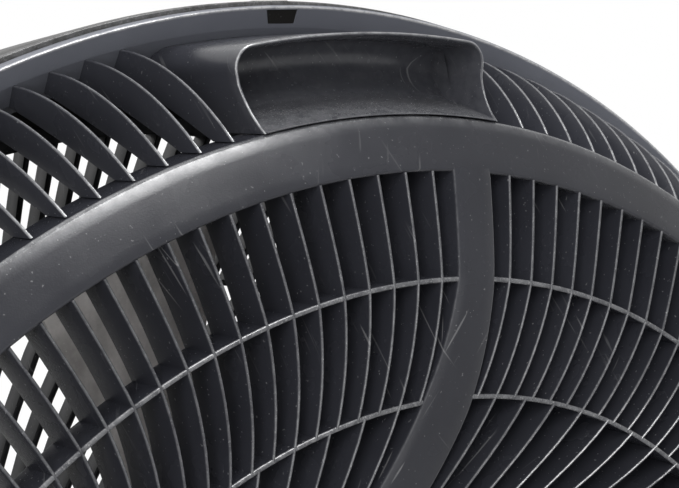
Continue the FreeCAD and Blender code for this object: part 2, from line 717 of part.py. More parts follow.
# Switch case behind the hub, with the rotary switch, its nut, capacitor and cord gland
switch_case = node("switch_case")
turned(switch_case, [
    ("case_radius", "plate_rear"),
    ("case_radius", "case_step"),
    ("case_top_radius + case_edge", "case_top - case_edge"),
    ("case_top_radius", "case_top"),
    ("bush_hole", "case_top"),
    ("bush_hole", "case_top - case_wall"),
    ("case_top_radius - case_edge", "case_top - case_wall"),
    ("case_radius - case_wall", "case_step"),
    ("case_radius - case_wall", "plate_rear"),
])


def gland_hole(sketch):
    circle(sketch, "0", "- gland_drop", "gland_neck + running_gap")


def case_hole(sketch):
    circle(sketch, "0", "- post_circle", "case_screw_radius + seat_gap")


cut_through(switch_case, "XZ_Plane", "gland_hole", gland_hole)
case_holes = cut_through(switch_case, "XZ_Plane", "case_hole", case_hole)
repeat(switch_case, case_holes, "case_screws")
in_head(switch_case)
nodes.append(switch_case)

case_screw = screw(size("case_screw_radius"), size("case_screw_head"), size("case_head_high"),
                   size("case_top") - size("case_screw_end"),
                   FreeCAD.Vector(0, size("case_top"), size("post_circle")), Y)
head_group("case_screws", around(case_screw, post_angles))

switch_body = block("switch_block", "switch_wide", "switch_deep", "switch_wide", "- switch_half",
                    "band_plane + switch_rear - switch_deep", "axis_height - switch_half")
bush = rod("switch_bush", "bush_radius", "bush_top - switch_rear", Y, "0", "band_plane + switch_rear",
           "axis_height")
bush_bore = rod("bush_bore", "spindle_radius + running_gap", "bush_top", Y, "0",
                "band_plane + spindle_front", "axis_height")
rotary_switch = minus("rotary_switch", joined("switch_with_bush", [switch_body, bush]), bush_bore)
nodes.append(rotary_switch)

hexagon = Part.makePolygon([
    spot_at(size("nut_across") / math.sqrt(3), math.radians(angle), size("case_top"))
    for angle in shares_of_turn(6) + [0.0]])
nut = Part.Face(hexagon).extrude(Y * size("nut_high"))
nut = nut.cut(Part.makeCylinder(size("bush_radius") + size("running_gap"), size("bush_top"), centre, Y))
head_group("switch_nut", [nut])

capacitor = block("capacitor", "capacitor_wide", "capacitor_deep", "capacitor_high", "- capacitor_half",
                  "band_plane + plate_rear", "axis_height + capacitor_rise")
capacitor.Label = "capacitor"
nodes.append(capacitor)

cord_gland = node("cord_gland")
turned(cord_gland, [
    ("gland_bore", "gland_front"), ("gland_neck", "gland_front"), ("gland_neck", "case_top"),
    ("gland_flange", "case_top"), ("gland_flange - gland_edge", "case_top + gland_thick"),
    ("gland_bore", "case_top + gland_thick")])
place(cord_gland, along="band_plane", up="axis_height - gland_drop")
nodes.append(cord_gland)

# Speed knob and the switch spindle that it turns
speed_knob = node("speed_knob")
turned(speed_knob, [
    ("knob_skirt", "knob_skirt_rear"),
    ("knob_skirt", "knob_skirt_top"),
    ("knob_grip", "knob_skirt_top + knob_edge"),
    ("knob_grip", "knob_top - knob_edge"),
    ("knob_grip - knob_edge", "knob_top"),
    ("0", "knob_top"),
    ("0", "spindle_top + seat_gap"),
    ("spindle_radius + running_gap", "spindle_top + seat_gap"),
    ("spindle_radius + running_gap", "knob_cavity_top"),
    ("knob_cavity", "knob_cavity_top"),
    ("knob_cavity", "knob_skirt_rear"),
])
sketch = draw_on(speed_knob, "XZ_Plane", "grip", "- grip_high")
outline(sketch, [("- grip_half", "- grip_reach"), ("grip_half", "- grip_reach"),
                 ("grip_half", "grip_reach"), ("- grip_half", "grip_reach")])
grip = speed_knob.newObject("PartDesign::Pad", "grip_bar")
grip.Profile = sketch
grip.setExpression("Length", bound("grip_high - knob_skirt_top + knob_edge"))
sketch = draw_on(speed_knob, "XZ_Plane", "spindle_socket", "- spindle_top - seat_gap")
circle(sketch, "0", "0", "spindle_radius + running_gap")
socket = speed_knob.newObject("PartDesign::Pocket", "spindle_socket_cut")
socket.Profile = sketch
socket.Reversed = True
socket.setExpression("Length", bound("spindle_top + seat_gap - knob_skirt_rear"))
doc.recompute()
in_head(speed_knob)
nodes.append(speed_knob)

switch_spindle = node("switch_spindle")
turned(switch_spindle, [("0", "spindle_front + seat_gap"), ("spindle_radius", "spindle_front + seat_gap"),
                        ("spindle_radius", "spindle_top"), ("0", "spindle_top")])
in_head(switch_spindle)
nodes.append(switch_spindle)


# Fan blade: twisted blades carried by a cup hub
def blade_section(radius, chord_share, pitch_angle, camber_share):
    chord = chord_share * size("blade_radius")
    pitch = math.radians(pitch_angle)
    run = FreeCAD.Vector(math.cos(pitch), math.sin(pitch), 0)
    rise = FreeCAD.Vector(-math.sin(pitch), math.cos(pitch), 0)
    middle = FreeCAD.Vector(0, -size("blade_middle"), radius)
    first = middle - run * (chord / 2)
    last = middle + run * (chord / 2)
    crown = middle + rise * (camber_share * chord)
    thick = rise * size("blade_thick")
    return Part.Wire([
        Part.Arc(first, crown, last).toShape(), Part.makeLine(last, last - thick),
        Part.Arc(last - thick, crown - thick, first - thick).toShape(), Part.makeLine(first - thick, first)])


blade_shares = [
    ("root_radius", 0.25, 40, 0.06), ("middle_radius", 0.31, 29, 0.07), ("tip_radius", 0.57, 21, 0.06)]
wing = Part.makeLoft([blade_section(size(row[0]), *row[1:]) for row in blade_shares], True, False)
sweep_long = size("front_face")
tip_limit = Part.makeCylinder(size("blade_radius"), sweep_long, Y * -sweep_long, Y)
hub_limit = Part.makeCylinder(size("blade_hub") - size("blade_hub_wall") / 2, sweep_long, Y * -sweep_long, Y)
wing = wing.common(tip_limit).cut(hub_limit)
hub_long = size("blade_hub_front") - size("blade_hub_rear")
hub_start = Y * -size("blade_hub_front")
hub = tube(size("blade_hub"), size("blade_hub") - size("blade_hub_wall"), hub_long, hub_start, Y)
hub_face = Part.makeCylinder(size("blade_hub"), size("blade_hub_wall"), hub_start, Y)
hub_core = Part.makeCylinder(size("shaft_radius") + size("blade_bore_wall"), hub_long, hub_start, Y)
bore = Part.makeCylinder(size("shaft_radius") + size("running_gap"), hub_long, hub_start, Y)
wings = around(wing, shares_of_turn(size("blade_count"), size("blade_turn")))
propeller = hub.fuse([hub_face, hub_core] + wings).cut(bore)
head_group("fan_blade", propeller.Solids)

blade_nut = node("blade_nut")
turned(blade_nut, [
    ("shaft_radius + running_gap", "- blade_hub_front"),
    ("nut_radius", "- blade_hub_front"),
    ("nut_radius", "- nut_dome"),
    ("nut_crown", "- nut_front"),
    ("0", "- nut_front"),
    ("0", "- shaft_front - seat_gap"),
    ("shaft_radius + running_gap", "- shaft_front - seat_gap"),
])
in_head(blade_nut)
nodes.append(blade_nut)


# Stand: two side frames, a beam between them, screws and rubber pads
def side_outline(sketch):
    half_line = [
        ("side_waist", "waist_height", "sweep_out", "sweep_height"),
        ("toe_start", "toe_height"),
        ("toe_end", "toe_height", "toe_bow", "toe_bow_height"),
        ("foot_reach", "toe_tip"),
        ("foot_reach", "side_base"),
        ("arch_out", "side_base"),
        ("arch_in", "arch_height")]
    other = [
        ("- arch_in", "arch_height"),
        ("- arch_out", "side_base"),
        ("- foot_reach", "side_base"),
        ("- foot_reach", "toe_tip", "- toe_bow", "toe_bow_height"),
        ("- toe_end", "toe_height"),
        ("- toe_start", "toe_height", "- sweep_out", "sweep_height"),
        ("- side_waist", "waist_height")]
    crown = [("- side_top", "axis_height", "0", "axis_height + side_top"), ("side_top", "axis_height")]
    outline(sketch, half_line + other + crown)


def pivot_hole(sketch):
    circle(sketch, "0", "axis_height", "stud_radius + running_gap")


def beam_holes(sketch):
    for sign in ("", "- "):
        circle(sketch, sign + "beam_screw_out", "beam_screw_height", "beam_screw_hole")


def stem_holes(sketch):
    for sign in ("", "- "):
        circle(sketch, "side_half", sign + "pad_out", "pad_stem + running_gap")


def side_panel(sketch):
    outline(sketch, [("panel_top", "panel_high"), ("panel_foot", "panel_low"),
                     ("- panel_foot", "panel_low"), ("- panel_top", "panel_high")])


def stand_side(label, sign):
    body = node(label)
    sketch = draw_on(body, "YZ_Plane", label + "_outline")
    side_outline(sketch)
    slab = body.newObject("PartDesign::Pad", label + "_slab")
    slab.Profile = sketch
    slab.setExpression("Length", bound("side_thick"))
    doc.recompute()
    cut_through(body, "YZ_Plane", label + "_pivot", pivot_hole)
    cut_through(body, "YZ_Plane", label + "_screws", beam_holes)
    sketch = draw_on(body, "XY_Plane", label + "_stems")
    stem_holes(sketch)
    stems = body.newObject("PartDesign::Pocket", label + "_stem_cut")
    stems.Profile = sketch
    stems.Reversed = True
    stems.setExpression("Length", bound("side_base + pad_stem_high + seat_gap"))
    sketch = draw_on(body, "YZ_Plane", label + "_panel", "side_thick")
    side_panel(sketch)
    panel = body.newObject("PartDesign::Pocket", label + "_panel_cut")
    panel.Profile = sketch
    panel.setExpression("Length", bound("panel_deep"))
    doc.recompute()
    if sign:
        body.Placement.Rotation = FreeCAD.Rotation(Z, half_turn)
    place(body, across=sign + "side_inner")
    nodes.append(body)


stand_side("stand_side_right", "")
stand_side("stand_side_left", "- ")

beam_outer = block("beam_outer", "side_inner + side_inner", "beam_half + beam_half", "beam_high - beam_low",
                   "- side_inner", "- beam_half", "beam_low")
beam_inner = block("beam_inner", "side_inner + side_inner - beam_end - beam_end",
                   "beam_half + beam_half - beam_wall - beam_wall", "beam_high - beam_low - beam_wall",
                   "- side_inner + beam_end", "- beam_half + beam_wall", "beam_low")
beam_bores = joined("beam_bores", [
    rod("beam_bore_" + word, "beam_screw_radius + running_gap", "side_inner + side_inner", X,
        "- side_inner", sign + "beam_screw_out", "beam_screw_height")
    for word, sign in (("rear", ""), ("front", "- "))])
stand_beam = minus("stand_beam", minus("beam_channel", beam_outer, beam_inner), beam_bores)
nodes.append(stand_beam)

outside = size("side_inner") + size("side_thick")
beam_screw = screw(size("beam_screw_radius"), size("screw_head"), size("head_high"),
                   size("side_thick") + size("beam_screw_reach"),
                   FreeCAD.Vector(outside, 0, size("beam_screw_height")), X)
screw_set = [beam_screw.translated(Y * (sign * size("beam_screw_out"))) for sign in (1, -1)]
screw_set += [one.rotated(centre, Z, half_turn) for one in screw_set]
nodes.append(plain("beam_screws", Part.makeCompound(screw_set)))

foot = Part.makeCylinder(size("pad_radius"), size("side_base"))
pad_edge = [edge for edge in foot.Edges if edge.BoundBox.ZMax < size("running_gap")]
foot = foot.makeChamfer(size("side_base") / 4, pad_edge)
foot = foot.fuse(Part.makeCylinder(size("pad_stem"), size("side_base") + size("pad_stem_high")))
pad_across = size("side_inner") + size("side_half")
feet = [foot.translated(FreeCAD.Vector(side * pad_across, end * size("pad_out"), 0))
        for side in (1, -1) for end in (1, -1)]
nodes.append(plain("rubber_feet", Part.makeCompound(feet)))


def pair_across(piece):
    return [piece, piece.rotated(centre, Z, half_turn)]


# Tilt pivots: threaded inserts in the head, washers, and clamp knobs on studs
insert_bore = size("stud_radius") + size("running_gap")
insert_long = size("insert_outer") - size("boss_floor")
insert = tube(insert_bore + size("insert_wall"), insert_bore, insert_long, X * size("boss_floor"), X)
nodes.append(plain("pivot_inserts", Part.makeCompound(pair_across(insert)), up=size("axis_height")))
washer_long = size("side_inner") - size("boss_face") - size("seat_gap")
washer = tube(size("washer_radius"), size("washer_bore"), washer_long,
              X * (size("boss_face") + size("seat_gap")), X)
nodes.append(plain("pivot_washers", Part.makeCompound(pair_across(washer)), up=size("axis_height")))


def tilt_knob(word, sign):
    knob = node("tilt_knob_" + word)
    turned(knob, [
        ("tilt_knob_inner", "stud_radius + running_gap"),
        ("stud_outer + seat_gap", "stud_radius + running_gap"),
        ("stud_outer + seat_gap", "0"),
        ("tilt_knob_outer", "0"),
        ("tilt_knob_outer", "tilt_knob_radius - tilt_knob_round"),
        ("tilt_knob_outer - tilt_knob_round", "tilt_knob_radius"),
        ("tilt_neck_end", "tilt_knob_radius"),
        ("tilt_neck_end", "tilt_knob_neck"),
        ("tilt_knob_inner", "tilt_knob_neck"),
    ], "XY_Plane", "H_Axis")

    def hollow(sketch):
        circle(sketch, "0", "lobe_out", "lobe_radius")

    lobes = cut_through(knob, "YZ_Plane", "lobe_" + word, hollow)
    repeat(knob, lobes, "lobe_count", "X_Axis")
    stud = node("tilt_stud_" + word)
    turned(stud, [("stud_inner", "0"), ("stud_outer", "0"), ("stud_outer", "stud_radius"),
                  ("stud_inner", "stud_radius")], "XY_Plane", "H_Axis")
    for piece in (knob, stud):
        if sign < 0:
            piece.Placement.Rotation = FreeCAD.Rotation(Z, half_turn)
        at_pivot(piece)
        nodes.append(piece)


tilt_knob("right", 1)
tilt_knob("left", -1)

doc.recompute()
for item in doc.Objects:
    if "Invalid" in item.State or "Error" in item.State:
        raise RuntimeError("not built: " + item.Label)
os.makedirs("parts", exist_ok=True)
for item in nodes:
    if item.Shape.isNull() or not item.Shape.isValid() or not item.Shape.Solids:
        raise RuntimeError("bad shape: " + item.Label)
    item.Shape.exportStep("parts/" + item.Label + ".step")
    print(item.Label, len(item.Shape.Solids), "solids", round(item.Shape.Volume), "mm3")
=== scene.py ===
import bmesh
import bpy
import math
import numpy as np
from mathutils import Matrix, Vector


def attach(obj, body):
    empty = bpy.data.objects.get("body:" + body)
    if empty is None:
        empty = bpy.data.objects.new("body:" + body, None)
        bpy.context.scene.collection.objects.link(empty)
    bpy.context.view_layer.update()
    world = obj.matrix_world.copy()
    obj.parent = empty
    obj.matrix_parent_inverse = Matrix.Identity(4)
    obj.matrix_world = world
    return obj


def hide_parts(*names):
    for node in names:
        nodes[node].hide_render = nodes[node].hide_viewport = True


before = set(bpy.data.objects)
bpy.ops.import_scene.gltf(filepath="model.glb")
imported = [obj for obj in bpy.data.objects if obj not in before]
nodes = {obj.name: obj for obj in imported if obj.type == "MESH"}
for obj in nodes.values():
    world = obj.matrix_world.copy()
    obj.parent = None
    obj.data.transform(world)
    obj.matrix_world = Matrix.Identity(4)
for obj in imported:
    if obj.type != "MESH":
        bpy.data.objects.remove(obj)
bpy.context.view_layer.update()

# Floor fan seen from behind. The head is worked out in millimetres about the fan axis:
# radius R, angle A from the top (turning towards -X) and depth Y from the band's outer edge.
headAt = {"depth": 68.0, "height": 318.0}
fullTurn = 2.0 * np.pi


def inFrame(radius, angle, depth):
    # x = -R sin A, y = Y + band plane, z = R cos A + axis height, all in metres
    radius, angle, depth = np.broadcast_arrays(radius, angle, depth)
    spots = np.stack([-radius * np.sin(angle), depth + headAt["depth"],
                      radius * np.cos(angle) + headAt["height"]], axis=-1)
    return spots / 1000.0


# finishes: shader nodes that read the piece's own points
def add(tree, kind, **values):
    # a new node with plain values on its own inputs
    item = tree.nodes.new(kind)
    for word, amount in values.items():
        item.inputs[word].default_value = amount
    return item


def noiseOf(tree, source, scale, detail=2.0, rough=0.5):
    # grey noise at the source's points times a scale
    item = add(tree, "ShaderNodeTexNoise", Scale=scale, Detail=detail, Roughness=rough)
    tree.links.new(source, item.inputs["Vector"])
    return item.outputs["Fac"]


def rampOf(tree, source, stops):
    # a colour or grey read off a line of stops
    item = tree.nodes.new("ShaderNodeValToRGB")
    line = item.color_ramp.elements
    while len(line) < len(stops):
        line.new(0.5)
    for mark, (place, tone) in zip(line, stops):
        mark.position = place
        mark.color = (*tone, 1.0) if isinstance(tone, tuple) else (tone, tone, tone, 1.0)
    tree.links.new(source, item.inputs["Fac"])
    return item.outputs["Color"]


def spreadOf(tree, source, low, high):
    # low up to 0.3 of the noise, high from 0.7 on, straight between
    return rampOf(tree, source, [(0.3, low), (0.7, high)])


def blendOf(tree, share, first, second, kind="MIX"):
    # first + share * (second - first), or their product or the lighter of the two
    item = tree.nodes.new("ShaderNodeMix")
    item.data_type = "RGBA"
    item.blend_type = kind
    for place, source in ((0, share), (6, first), (7, second)):
        if hasattr(source, "is_linked"):
            tree.links.new(source, item.inputs[place])
        else:
            item.inputs[place].default_value = (*source, 1.0) if isinstance(source, tuple) else source
    return item.outputs[2]


def stretched(tree, source, scale, turn=(0.0, 0.0, 0.0)):
    # turned first, then each axis times its own scale
    item = tree.nodes.new("ShaderNodeMapping")
    item.vector_type = "TEXTURE"
    item.inputs["Scale"].default_value = tuple(1.0 / each for each in scale)
    item.inputs["Rotation"].default_value = turn
    tree.links.new(source, item.inputs["Vector"])
    return item.outputs["Vector"]


def bumpOf(tree, height, strength, distance, under=None):
    # the normal tilted by the height's slope, over another bump if one is given
    item = add(tree, "ShaderNodeBump", Strength=strength, Distance=distance)
    tree.links.new(height, item.inputs["Height"])
    if under is not None:
        tree.links.new(under, item.inputs["Normal"])
    return item.outputs["Normal"]


def startFinish(name):
    # a new material with its shader and the points it reads, in metres in the shared frame
    mat = bpy.data.materials.new(name)
    mat.use_nodes = True
    tree = mat.node_tree
    shader = tree.nodes["Principled BSDF"]
    spot = tree.nodes.new("ShaderNodeTexCoord").outputs["Object"]
    return mat, tree, shader, spot


def mouldedPlastic(spec):
    # colour = slow noise between two tones, thin pale scratches in patches where a stretched noise is
    # high, pale dust where fine noise is high, then a rubbed tone and pale grit by the edge attribute;
    # the rubbed tone is wear and also a painted highlight on edges; rubbed places are also smoother and
    # shinier
    mat, tree, shader, spot = startFinish(spec["name"])
    tone = spreadOf(tree, noiseOf(tree, spot, spec["patch"], 4.0, 0.6), spec["dark"], spec["light"])
    lines = []
    for turn, scale in zip(spec["scratchTurns"], spec["scratchScales"]):
        streaks = noiseOf(tree, stretched(tree, spot, scale, turn), 1.0, 1.0)
        lines.append(rampOf(tree, streaks, spec["scratchLine"]))
    scratch = blendOf(tree, 1.0, lines[0], lines[1], "LIGHTEN")
    patches = rampOf(tree, noiseOf(tree, spot, spec["scratchPatch"]), [(0.45, 0.0), (0.62, spec["scratch"])])
    scratch = blendOf(tree, 1.0, scratch, patches, "MULTIPLY")
    tone = blendOf(tree, scratch, tone, spec["pale"])
    specks = rampOf(tree, noiseOf(tree, spot, spec["speckScale"], 1.0), [(0.735, 0.0), (0.77, spec["dust"])])
    tone = blendOf(tree, specks, tone, spec["pale"])
    # painted highlight: rounded edges are lightened towards the rubbed tone, as wear and as the light they
    # catch
    wornAndHighlit = tree.nodes.new("ShaderNodeAttribute")
    wornAndHighlit.attribute_name = "wearAndHighlight"
    uneven = rampOf(tree, noiseOf(tree, spot, spec["rubAndHighlightScale"], 4.0, 0.65), [(0.32, 0.3), (0.62, 1.0)])
    rubAndHighlight = blendOf(tree, 1.0, wornAndHighlit.outputs["Color"], uneven, "MULTIPLY")
    tone = blendOf(tree, rubAndHighlight, tone, spec["rubbedAndHighlit"])
    grains = rampOf(tree, noiseOf(tree, spot, spec["gritScale"], 1.0), [(0.6, 0.0), (0.66, 1.0)])
    gritty = rampOf(tree, wornAndHighlit.outputs["Fac"], [(0.12, 0.0), (0.3, spec["grit"])])
    tone = blendOf(tree, blendOf(tree, 1.0, grains, gritty, "MULTIPLY"), tone, spec["pale"])
    tree.links.new(tone, shader.inputs["Base Color"])
    gloss = spreadOf(tree, noiseOf(tree, spot, spec["patch"] * 3.1, 3.0, 0.65), spec["smooth"], spec["rough"])
    gloss = blendOf(tree, specks, gloss, (spec["dustRough"],) * 3)
    gloss = blendOf(tree, wornAndHighlit.outputs["Color"], gloss, (spec["edgeGloss"],) * 3)
    tree.links.new(gloss, shader.inputs["Roughness"])
    shine = rampOf(tree, rubAndHighlight, [(0.0, spec["sheen"]), (0.6, spec["edgeSheen"])])
    tree.links.new(shine, shader.inputs["Specular IOR Level"])
    grain = bumpOf(tree, noiseOf(tree, spot, spec["grain"]), spec["grainDeep"], 0.0002)
    grain = bumpOf(tree, scratch, spec["scratchDeep"], 0.0001, grain)
    tree.links.new(grain, shader.inputs["Normal"])
    return mat


def toolMetal(spec):
    # colour = fine stretched noise along one axis (tool marks) over slow tarnish
    mat, tree, shader, spot = startFinish(spec["name"])
    shader.inputs["Metallic"].default_value = 1.0
    marks = noiseOf(tree, stretched(tree, spot, spec["marks"]), 1.0, 3.0, 0.6)
    tone = spreadOf(tree, marks, spec["dark"], spec["light"])
    tarnish = rampOf(tree, noiseOf(tree, spot, 90.0, 4.0, 0.6), [(0.4, 0.0), (0.8, 0.5)])
    tree.links.new(blendOf(tree, tarnish, tone, spec["tarnish"]), shader.inputs["Base Color"])
    gloss = rampOf(tree, marks, [(0.25, spec["smooth"]), (0.75, spec["rough"])])
    tree.links.new(gloss, shader.inputs["Roughness"])
    tree.links.new(bumpOf(tree, marks, 0.12, 0.0001), shader.inputs["Normal"])
    return mat


def softRubber(spec):
    # colour = slow noise between two near blacks, chalky bloom where fine noise is high
    mat, tree, shader, spot = startFinish(spec["name"])
    tone = spreadOf(tree, noiseOf(tree, spot, 60.0, 4.0, 0.6), spec["dark"], spec["light"])
    bloom = rampOf(tree, noiseOf(tree, spot, 420.0, 3.0, 0.7), [(0.58, 0.0), (0.8, spec["bloom"])])
    tree.links.new(blendOf(tree, bloom, tone, spec["pale"]), shader.inputs["Base Color"])
    gloss = spreadOf(tree, noiseOf(tree, spot, 200.0), spec["smooth"], spec["rough"])
    tree.links.new(gloss, shader.inputs["Roughness"])
    grain = bumpOf(tree, noiseOf(tree, spot, spec["grain"]), 0.25, 0.0002)
    tree.links.new(grain, shader.inputs["Normal"])
    return mat


def layeredMetal(spec):
    # colour and height = thin stripes across one axis, as in stacked sheets or wound wire
    mat, tree, shader, spot = startFinish(spec["name"])
    shader.inputs["Metallic"].default_value = spec["metal"]
    stripe = add(tree, "ShaderNodeTexWave", Scale=spec["stripes"], Distortion=spec["waver"])
    stripe.bands_direction = spec["along"]
    tree.links.new(spot, stripe.inputs["Vector"])
    tone = rampOf(tree, stripe.outputs["Fac"], [(0.1, spec["dark"]), (0.6, spec["light"])])
    stain = rampOf(tree, noiseOf(tree, spot, 120.0, 3.0), [(0.45, 0.0), (0.8, 0.6)])
    tree.links.new(blendOf(tree, stain, tone, spec["dark"]), shader.inputs["Base Color"])
    gloss = rampOf(tree, stain, [(0.0, spec["smooth"]), (0.6, spec["rough"])])
    tree.links.new(gloss, shader.inputs["Roughness"])
    tree.links.new(bumpOf(tree, stripe.outputs["Fac"], 0.4, 0.0003), shader.inputs["Normal"])
    return mat


# the rubbed tone is the colour of worn edges and also their painted highlight
blackPlastic = {
    "name": "charcoalPlastic", "patch": 18.0, "dark": (0.03, 0.031, 0.038), "light": (0.039, 0.0405, 0.049),
    "pale": (0.2, 0.2, 0.205), "rubbedAndHighlit": (0.28, 0.283, 0.295), "rubAndHighlightScale": 330.0,
    "scratch": 0.5, "scratchPatch": 31.0, "scratchDeep": 0.25, "scratchLine": [(0.715, 0.0), (0.76, 1.0)],
    "scratchTurns": [(0.0, -0.52, 0.95), (0.3, -0.55, 2.36)],
    "scratchScales": [(1000.0, 40.0, 40.0), (850.0, 46.0, 30.0)],
    "dust": 0.55, "dustRough": 0.9, "speckScale": 1150.0, "grit": 0.8, "gritScale": 2100.0,
    "sheen": 0.22, "edgeSheen": 1.0, "edgeGloss": 0.2, "smooth": 0.2, "rough": 0.31,
    "grain": 2300.0, "grainDeep": 0.12}
# what each other plastic or paint has of its own
plastics = {
    "grilleBlack": {"name": "grilleBlackPlastic", "dark": (0.018, 0.0187, 0.0235),
                    "light": (0.027, 0.028, 0.0345)},
    # painted light: the rim's plastic is made much lighter than the other plastics, standing in for light its
    # shaded funnel lacks
    "slatePaintedLight": {"name": "slatePaintedLightPlastic", "dark": (0.148, 0.155, 0.182), "light": (0.178, 0.186, 0.215),
              "rubbedAndHighlit": (0.4, 0.4, 0.41), "smooth": 0.36, "rough": 0.5},
    "warmGrey": {"name": "warmGreyPlastic", "dark": (0.017, 0.0162, 0.0154),
                 "light": (0.024, 0.0228, 0.0216), "sheen": 0.15, "smooth": 0.35, "rough": 0.5},
    # painted light: the blade's grey is lightened well past its plastic's own, standing in for light it gets
    # behind the grille
    "bladeGreyPaintedLight": {"name": "bladeGreyPaintedLightPlastic", "patch": 70.0, "dark": (0.31, 0.298, 0.288),
                  "light": (0.64, 0.615, 0.6), "pale": (0.7, 0.69, 0.68), "rubbedAndHighlit": (0.5, 0.49, 0.48)},
    # painted shade: the front grille's black is much darker than the same plastic elsewhere, so that its lit
    # sides read as in shade
    "frontPaintedShade": {"name": "frontPaintedShadePlastic", "dark": (0.009, 0.0092, 0.0108),
                   "light": (0.013, 0.0134, 0.0155), "sheen": 0.08, "smooth": 0.3, "rough": 0.42},
    "knob": {"name": "knobPlastic", "dark": (0.028, 0.028, 0.03), "light": (0.04, 0.04, 0.043),
             "grain": 1500.0, "grainDeep": 0.25},
    "motorPaint": {"name": "motorPaint", "dark": (0.016, 0.016, 0.017), "light": (0.024, 0.024, 0.025),
                   "smooth": 0.3, "rough": 0.42, "grain": 700.0, "grainDeep": 0.3},
    "switchBody": {"name": "switchBodyPlastic", "dark": (0.06, 0.058, 0.055), "light": (0.085, 0.082, 0.078)},
    "capacitorCase": {"name": "capacitorCasePlastic", "dark": (0.05, 0.05, 0.054),
                      "light": (0.07, 0.07, 0.075)},
}
metals = {
    "groundSteel": {"name": "groundSteel", "marks": (300.0, 2600.0, 300.0), "dark": (0.4, 0.4, 0.41),
                    "light": (0.6, 0.6, 0.61), "tarnish": (0.3, 0.28, 0.26), "smooth": 0.22, "rough": 0.4},
    "zinc": {"name": "zincPlate", "marks": (900.0, 900.0, 900.0), "dark": (0.44, 0.44, 0.45),
             "light": (0.6, 0.6, 0.6), "tarnish": (0.36, 0.35, 0.32), "smooth": 0.3, "rough": 0.5},
    "brass": {"name": "turnedBrass", "marks": (1800.0, 200.0, 200.0), "dark": (0.5, 0.36, 0.14),
              "light": (0.68, 0.52, 0.24), "tarnish": (0.3, 0.2, 0.09), "smooth": 0.25, "rough": 0.42},
}
rubbers = {
    "rubber": {"name": "blackRubber", "dark": (0.012, 0.012, 0.012), "light": (0.022, 0.022, 0.022),
               "pale": (0.06, 0.06, 0.06), "bloom": 0.35, "smooth": 0.7, "rough": 0.9, "grain": 1500.0},
}
layers = {
    "lamination": {"name": "stackedSteel", "metal": 1.0, "stripes": 320.0, "waver": 0.2, "along": "Y",
                   "dark": (0.16, 0.155, 0.15), "light": (0.46, 0.46, 0.47), "smooth": 0.35, "rough": 0.55},
    "copper": {"name": "enamelledCopper", "metal": 0.85, "stripes": 260.0, "waver": 1.5, "along": "X",
               "dark": (0.2, 0.07, 0.025), "light": (0.6, 0.27, 0.11), "smooth": 0.25, "rough": 0.4},
}
finishes = {"charcoal": mouldedPlastic(blackPlastic)}
for finish, own in plastics.items():
    finishes[finish] = mouldedPlastic({**blackPlastic, **own})
for maker, kinds in ((toolMetal, metals), (softRubber, rubbers), (layeredMetal, layers)):
    for finish, spec in kinds.items():
        finishes[finish] = maker(spec)
finishNodes = {
    "grilleBlack": ["rear_grille"],
    "charcoal": ["side_vanes", "handle_scoop", "front_cap", "switch_case", "stand_side_right",
                 "stand_side_left", "stand_beam"],
    "frontPaintedShade": ["front_grille"],
    "slatePaintedLight": ["rear_rim"],
    "warmGrey": ["front_shell"],
    "bladeGreyPaintedLight": ["fan_blade"],
    "knob": ["speed_knob", "tilt_knob_right", "tilt_knob_left", "blade_nut"],
    "motorPaint": ["motor_rear_bell", "motor_front_bell"],
    "switchBody": ["rotary_switch"],
    "capacitorCase": ["capacitor"],
    "groundSteel": ["motor_shaft", "motor_bearings", "motor_rotor"],
    "zinc": ["motor_screws", "case_screws", "beam_screws", "switch_nut", "tilt_stud_right", "tilt_stud_left"],
    "brass": ["switch_spindle", "pivot_inserts"],
    "rubber": ["rubber_feet", "pivot_washers", "cord_gland"],
    "lamination": ["stator_core"],
    "copper": ["stator_windings"],
}
for finish, names in finishNodes.items():
    for name in names:
        slots = nodes[name].data.materials
        slots.clear()
        slots.append(finishes[finish])
print("finishes set on", sum(len(names) for names in finishNodes.values()), "nodes")


# surfaces: every piece is a grid of points worked out as whole arrays
def roundedLoop(corners, radii, steps=4):
    # each corner gives way to an arc that touches both its sides: centre on the bisector at
    # r / sin(half angle), points by turning evenly from one side to the other; share is 1 on arcs
    loop, share = [], []
    corners = [np.array(corner, float) for corner in corners]
    for k, (here, r) in enumerate(zip(corners, radii)):
        back, ahead = corners[k - 1] - here, corners[(k + 1) % len(corners)] - here
        longBack, longAhead = np.linalg.norm(back), np.linalg.norm(ahead)
        back, ahead = back / longBack, ahead / longAhead
        half = 0.5 * np.arccos(np.clip(back @ ahead, -1.0, 1.0))
        if r <= 0.0 or half > 1.55:   # left sharp, or nearly straight already
            loop.append(here[None])
            share.append(np.zeros(1))
            continue
        reach = min(r / np.tan(half), 0.48 * longBack, 0.48 * longAhead)
        bisector = (back + ahead) / np.linalg.norm(back + ahead)
        middle = here + bisector * reach / np.cos(half)
        first, last = here + back * reach - middle, here + ahead * reach - middle
        sweep = np.pi - 2.0 * half
        t = np.linspace(0.0, 1.0, steps + 1)[:, None]
        loop.append(middle + (np.sin((1.0 - t) * sweep) * first + np.sin(t * sweep) * last) / np.sin(sweep))
        share.append(np.ones(steps + 1))
    return np.concatenate(loop), np.concatenate(share)


def arcThrough(first, way, last, count):
    # circle through three points: centre from the two equal-distance lines, then even turning
    a, b, c = (np.array(p, float) for p in (first, way, last))
    middle = np.linalg.solve(2.0 * np.array([b - a, c - a]), np.array([b @ b - a @ a, c @ c - a @ a]))
    radius = np.linalg.norm(a - middle)
    turns = np.unwrap([math.atan2(*(p - middle)[::-1]) for p in (a, b, c)])
    t = np.linspace(turns[0], turns[2], count)
    return middle + radius * np.stack([np.cos(t), np.sin(t)], axis=-1)


def apart(a, b):
    # shortest turn between angles: |((a - b + half a turn) mod a turn) - half a turn|
    return np.abs((a - b + np.pi) % fullTurn - np.pi)


